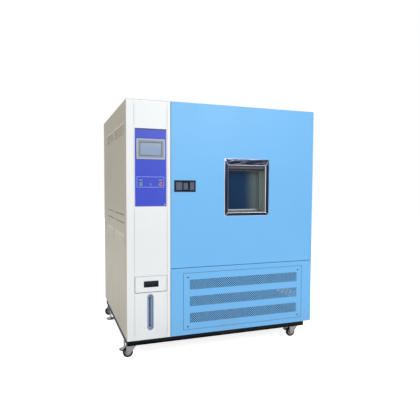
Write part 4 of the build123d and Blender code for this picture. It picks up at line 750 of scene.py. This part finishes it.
def latch():
    """The flush latch, its paddle and the bolt."""
    softened("latch_housing", BLACK, 0.0008, longer(0.02))
    softened("latch_paddle", LATCH_GREY, 0.0009, longer(0.004))
    made = bmesh.new()
    for x0, x1 in ((-0.4095, -0.3625), (-0.3025, -0.2695)):
        slab(made, (x0, -0.6912, 1.2505), (x1, -0.6898, 1.3075), 0.0006)
    piece("latch_lands", made, LATCH_GREY, "latch_housing")
    softened("latch_bolt", ZINC, 0.0006, longer(0.004))


def running_gear():
    """Casters with their tyres and the levelling feet."""
    for corner in CORNERS:
        node = "caster_wheel_" + corner
        low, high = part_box(node)
        middle = (low + high) / 2
        tyre = bmesh.new()
        turned(tyre, middle, (0, 1, 0), [
            (0.0265, -0.0105), (0.0345, -0.0118), (0.0362, -0.0105), (0.0374, -0.0075), (0.0375, -0.0042),
            (0.0366, -0.0036), (0.0366, -0.0026), (0.0375, -0.002), (0.0375, 0.002), (0.0366, 0.0026),
            (0.0366, 0.0036), (0.0375, 0.0042), (0.0374, 0.0075), (0.0362, 0.0105), (0.0345, 0.0118),
            (0.0265, 0.0105)], 56, True)
        piece("tyre_" + corner, outward(tyre), TYRE, node, (node,))
        hub = bmesh.new()
        turned(hub, middle, (0, 1, 0), [
            (0.0041, -0.0134), (0.0105, -0.0134), (0.0118, -0.012), (0.0128, -0.0072), (0.0225, -0.0062),
            (0.0242, -0.0098), (0.0267, -0.0104), (0.0267, 0.0104), (0.0242, 0.0098), (0.0225, 0.0062),
            (0.0128, 0.0072), (0.0118, 0.012), (0.0105, 0.0134), (0.0041, 0.0134)], 48, True)
        piece("wheel_centre_" + corner, outward(hub), WHEEL_GREY, node)
        softened("caster_fork_" + corner, WORN_ZINC, 0.0007, longer(0.006))
        node = "levelling_foot_" + corner
        low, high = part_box(node)
        x, y = (low.x + high.x) / 2, (low.y + high.y) / 2
        pad = bmesh.new()
        turned(pad, (x, y, 0), (0, 0, 1), [
            (0.0, 0.0), (0.0385, 0.0), (0.04, 0.0015), (0.04, 0.0052), (0.0385, 0.0062), (0.0355, 0.0058),
            (0.0355, 0.003), (0.0, 0.003)], 48)
        piece("foot_pad_" + corner, outward(pad), TYRE, node, (node,))
        dish = bmesh.new()
        profile = [
            (0.0, 0.003), (0.0354, 0.003), (0.0354, 0.0074), (0.033, 0.0084), (0.0205, 0.0112),
            (0.0145, 0.0132), (0.0135, 0.014), (0.006, 0.014),
        ]
        for i in range(38):
            z = 0.022 + i * 0.0024
            profile += [(0.006, z), (0.0052, z + 0.0012)]
        turned(dish, (x, y, 0), (0, 0, 1), profile + [(0.006, 0.1138), (0.0, 0.114)], 28)
        bmesh.ops.create_cone(
            dish, cap_ends=True, segments=6, radius1=0.01097, radius2=0.01097, depth=0.008,
            matrix=Matrix.Translation((x, y, 0.018)),
        )
        piece("foot_stem_" + corner, outward(dish), ZINC, node)
    softened("caster_plates", WORN_ZINC, 0.0006, longer(0.006))


def inside():
    """The wire shelf and the fan guard."""
    low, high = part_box("shelf")
    made = bmesh.new()
    z = (low.z + high.z) / 2
    thick = 0.004
    corners = [
        (low.x + thick, low.y + thick), (high.x - thick, low.y + thick),
        (high.x - thick, high.y - thick), (low.x + thick, high.y - thick),
    ]
    for (x0, y0), (x1, y1) in zip(corners, corners[1:] + corners[:1]):
        bar(made, (x0, y0, z), (x1, y1, z), thick, 12)
        bmesh.ops.create_uvsphere(
            made, u_segments=12, v_segments=8, radius=thick, matrix=Matrix.Translation((x0, y0, z))
        )
    middle = (low.y + high.y) / 2
    bar(made, (low.x + thick, middle, z - 0.001), (high.x - thick, middle, z - 0.001), 0.003, 12)
    for i in range(24):
        x = low.x + thick + (i + 1) * (high.x - low.x - 2 * thick) / 25
        bar(made, (x, low.y + thick, z + 0.0014), (x, high.y - thick, z + 0.0014), 0.0024, 8)
    piece("wire_shelf", outward(made), STAINLESS, "shelf", ("shelf",))
    made = bmesh.new()
    for ring in range(1, 6):
        radius = 0.022 * ring
        turned(made, (FAN_X, 0.2108, FAN_Z), (0, -1, 0), [
            (radius, -0.0011), (radius + 0.0011, 0.0), (radius, 0.0011), (radius - 0.0011, 0.0)], 48, True)
    for i in range(3):
        turn = math.radians(60 * i)
        reach = Vector((math.cos(turn), 0, math.sin(turn))) * 0.118
        centre = Vector((FAN_X, 0.2088, FAN_Z))
        bar(made, centre - reach, centre + reach, 0.0016, 8)
    piece("fan_guard", outward(made), STAINLESS, "air_baffle")


def cable_port():
    """The port's flange with its screws, and the soft plug."""
    centre = (RIGHT, PORT_Y, PORT_Z)
    made = bmesh.new()
    turned(made, centre, (1, 0, 0), [
        (0.025, -0.1115), (0.029, -0.1115), (0.029, 0.0), (0.037, 0.0), (0.038, 0.001), (0.038, 0.0032),
        (0.037, 0.004), (0.0262, 0.004), (0.025, 0.003)], 48, True)
    for i in range(4):
        turn = math.radians(45 + 90 * i)
        y, z = centre[1] + 0.0345 * math.cos(turn), centre[2] + 0.0345 * math.sin(turn)
        button_head(made, RIGHT + 0.004, y, z, (1, 0, 0), 0.0026)
    piece("port_flange", outward(made), BRIGHT, "cable_port", ("cable_port",))
    made = bmesh.new()
    turned(made, centre, (1, 0, 0), [
        (0.0, -0.1115), (0.0247, -0.1115), (0.0247, 0.0043), (0.031, 0.0043), (0.032, 0.0053),
        (0.032, 0.0088), (0.0305, 0.0103), (0.012, 0.0103), (0.010, 0.0088), (0.0, 0.0084)], 48)
    piece("port_plug", outward(made), SEAL, "cable_port")


def hinges():
    """The hinge leaves and their screws."""
    for node, sign in (("hinge_cabinet_leaves", 1), ("hinge_door_leaves", -1)):
        made = bmesh.new()
        for z in HINGE_HEIGHTS:
            for y in (0.026, 0.048):
                for up in (0.015, 0.045):
                    height = z - up if sign > 0 else z + up
                    button_head(made, RIGHT + 0.004, HINGE_Y + sign * y, height, (1, 0, 0), 0.004)
        piece(node + "_screws", outward(made), STAINLESS, node)
        softened(node, STAINLESS, 0.0006, longer(0.02))


def studio():
    """Pale floor, a white room that only the camera and reflections see, and soft lamps."""
    world = bpy.data.worlds.new("room")
    scene.world = world
    world.use_nodes = True
    room = Graph(world.node_tree)
    world.node_tree.nodes.clear()
    soft = room.node("Background", None, {"Color": (0.95, 0.97, 1.0, 1), "Strength": 0.36})
    white = room.node("Background", None, {"Color": (1, 1, 1, 1), "Strength": 1.0})
    both = room.node("MixShader", None, {0: room.seen(), 1: soft.outputs[0], 2: white.outputs[0]})
    room.node("OutputWorld", None, {0: both.outputs[0]})

    made = bmesh.new()
    bmesh.ops.create_grid(made, x_segments=1, y_segments=1, size=14.0)
    mesh = bpy.data.meshes.new("floor")
    made.to_mesh(mesh)
    made.free()
    floor = bpy.data.objects.new("floor", mesh)
    scene.collection.objects.link(floor)
    pale = Finish("pale_floor", "painted_white", Roughness=0.9, Base_Color=(0.9, 0.9, 0.9, 1))
    across = pale.math("POWER", pale.x * pale.x + pale.y * pale.y, 0.5)
    lit = pale.mix(pale.span(across, 1.0, 2.6), (0.85, 0.85, 0.85, 1), (1, 1, 1, 1))
    glow = pale.mix(pale.seen(), (0, 0, 0, 1), lit)
    pale.set(Emission_Color=glow, Emission_Strength=1.0, Specular_IOR_Level=0.0)
    mesh.materials.append(pale.material)

    lamps = (
        ("key", (1.5, -5.4, 3.6), (0.1, -0.6, 0.7), 3.4, 134),
        ("fill", (-4.2, -3.4, 2.6), (-0.6, -0.2, 1.0), 3.0, 42),
        ("back", (1.5, 4.8, 3.4), (0, 0.5, 1.0), 3.0, 60),
        ("top", (0, 0, 5.2), (0, 0, 0), 3.5, 50),
    )
    for name, place, target, size, power in lamps:
        lamp = bpy.data.lights.new(name, "AREA")
        lamp.shape = "DISK"
        lamp.size = size
        lamp.energy = power
        holder = bpy.data.objects.new(name, lamp)
        scene.collection.objects.link(holder)
        aim = (Vector(target) - Vector(place)).to_track_quat("-Z", "Y")
        holder.matrix_world = Matrix.Translation(place) @ aim.to_matrix().to_4x4()


def camera():
    """The camera at the photograph's place."""
    ahead = Vector((math.sin(YAW) * math.cos(PITCH), math.cos(YAW) * math.cos(PITCH), -math.sin(PITCH)))
    right = Vector((math.cos(YAW), -math.sin(YAW), 0))
    up = right.cross(ahead)
    right, up = (
        right * math.cos(ROLL) + up * math.sin(ROLL),
        up * math.cos(ROLL) - right * math.sin(ROLL),
    )
    lens = bpy.data.cameras.new("camera")
    lens.lens = LENS
    lens.sensor_width = SENSOR
    viewer = bpy.data.objects.new("camera", lens)
    scene.collection.objects.link(viewer)
    viewer.matrix_world = Matrix.Translation(EYE) @ Matrix((right, up, -ahead)).transposed().to_4x4()
    scene.camera = viewer


scene.view_settings.view_transform = "Standard"
camera()
studio()

cabinet_sheets()
plate_screws()
sheet_screws()
control_column()
touchscreen()
push_buttons()
drawer_and_gauge()
window()
latch()
running_gear()
inside()
cable_port()
hinges()

dress(STAINLESS, "water_tank", "liner", "air_baffle", "door_pan")
dress(UPRIGHT_STAINLESS, "shelf_rails", "heater_coil")
dress(ALUMINIUM, "blower_wheel", "evaporator_coil")
dress(BLACK_FINS_AND_SHADE, "condenser")
dress(BLACK_STEEL, "compressor", "condenser_fan", "blower_motor")
dress(FOAM, "foam_box", "door_foam")
dress(SEAL, "door_seal")
dress(ZINC, "door_keeper")
dress(GREY, "wiring_plate")
dress(BLACK, "rear_fittings")
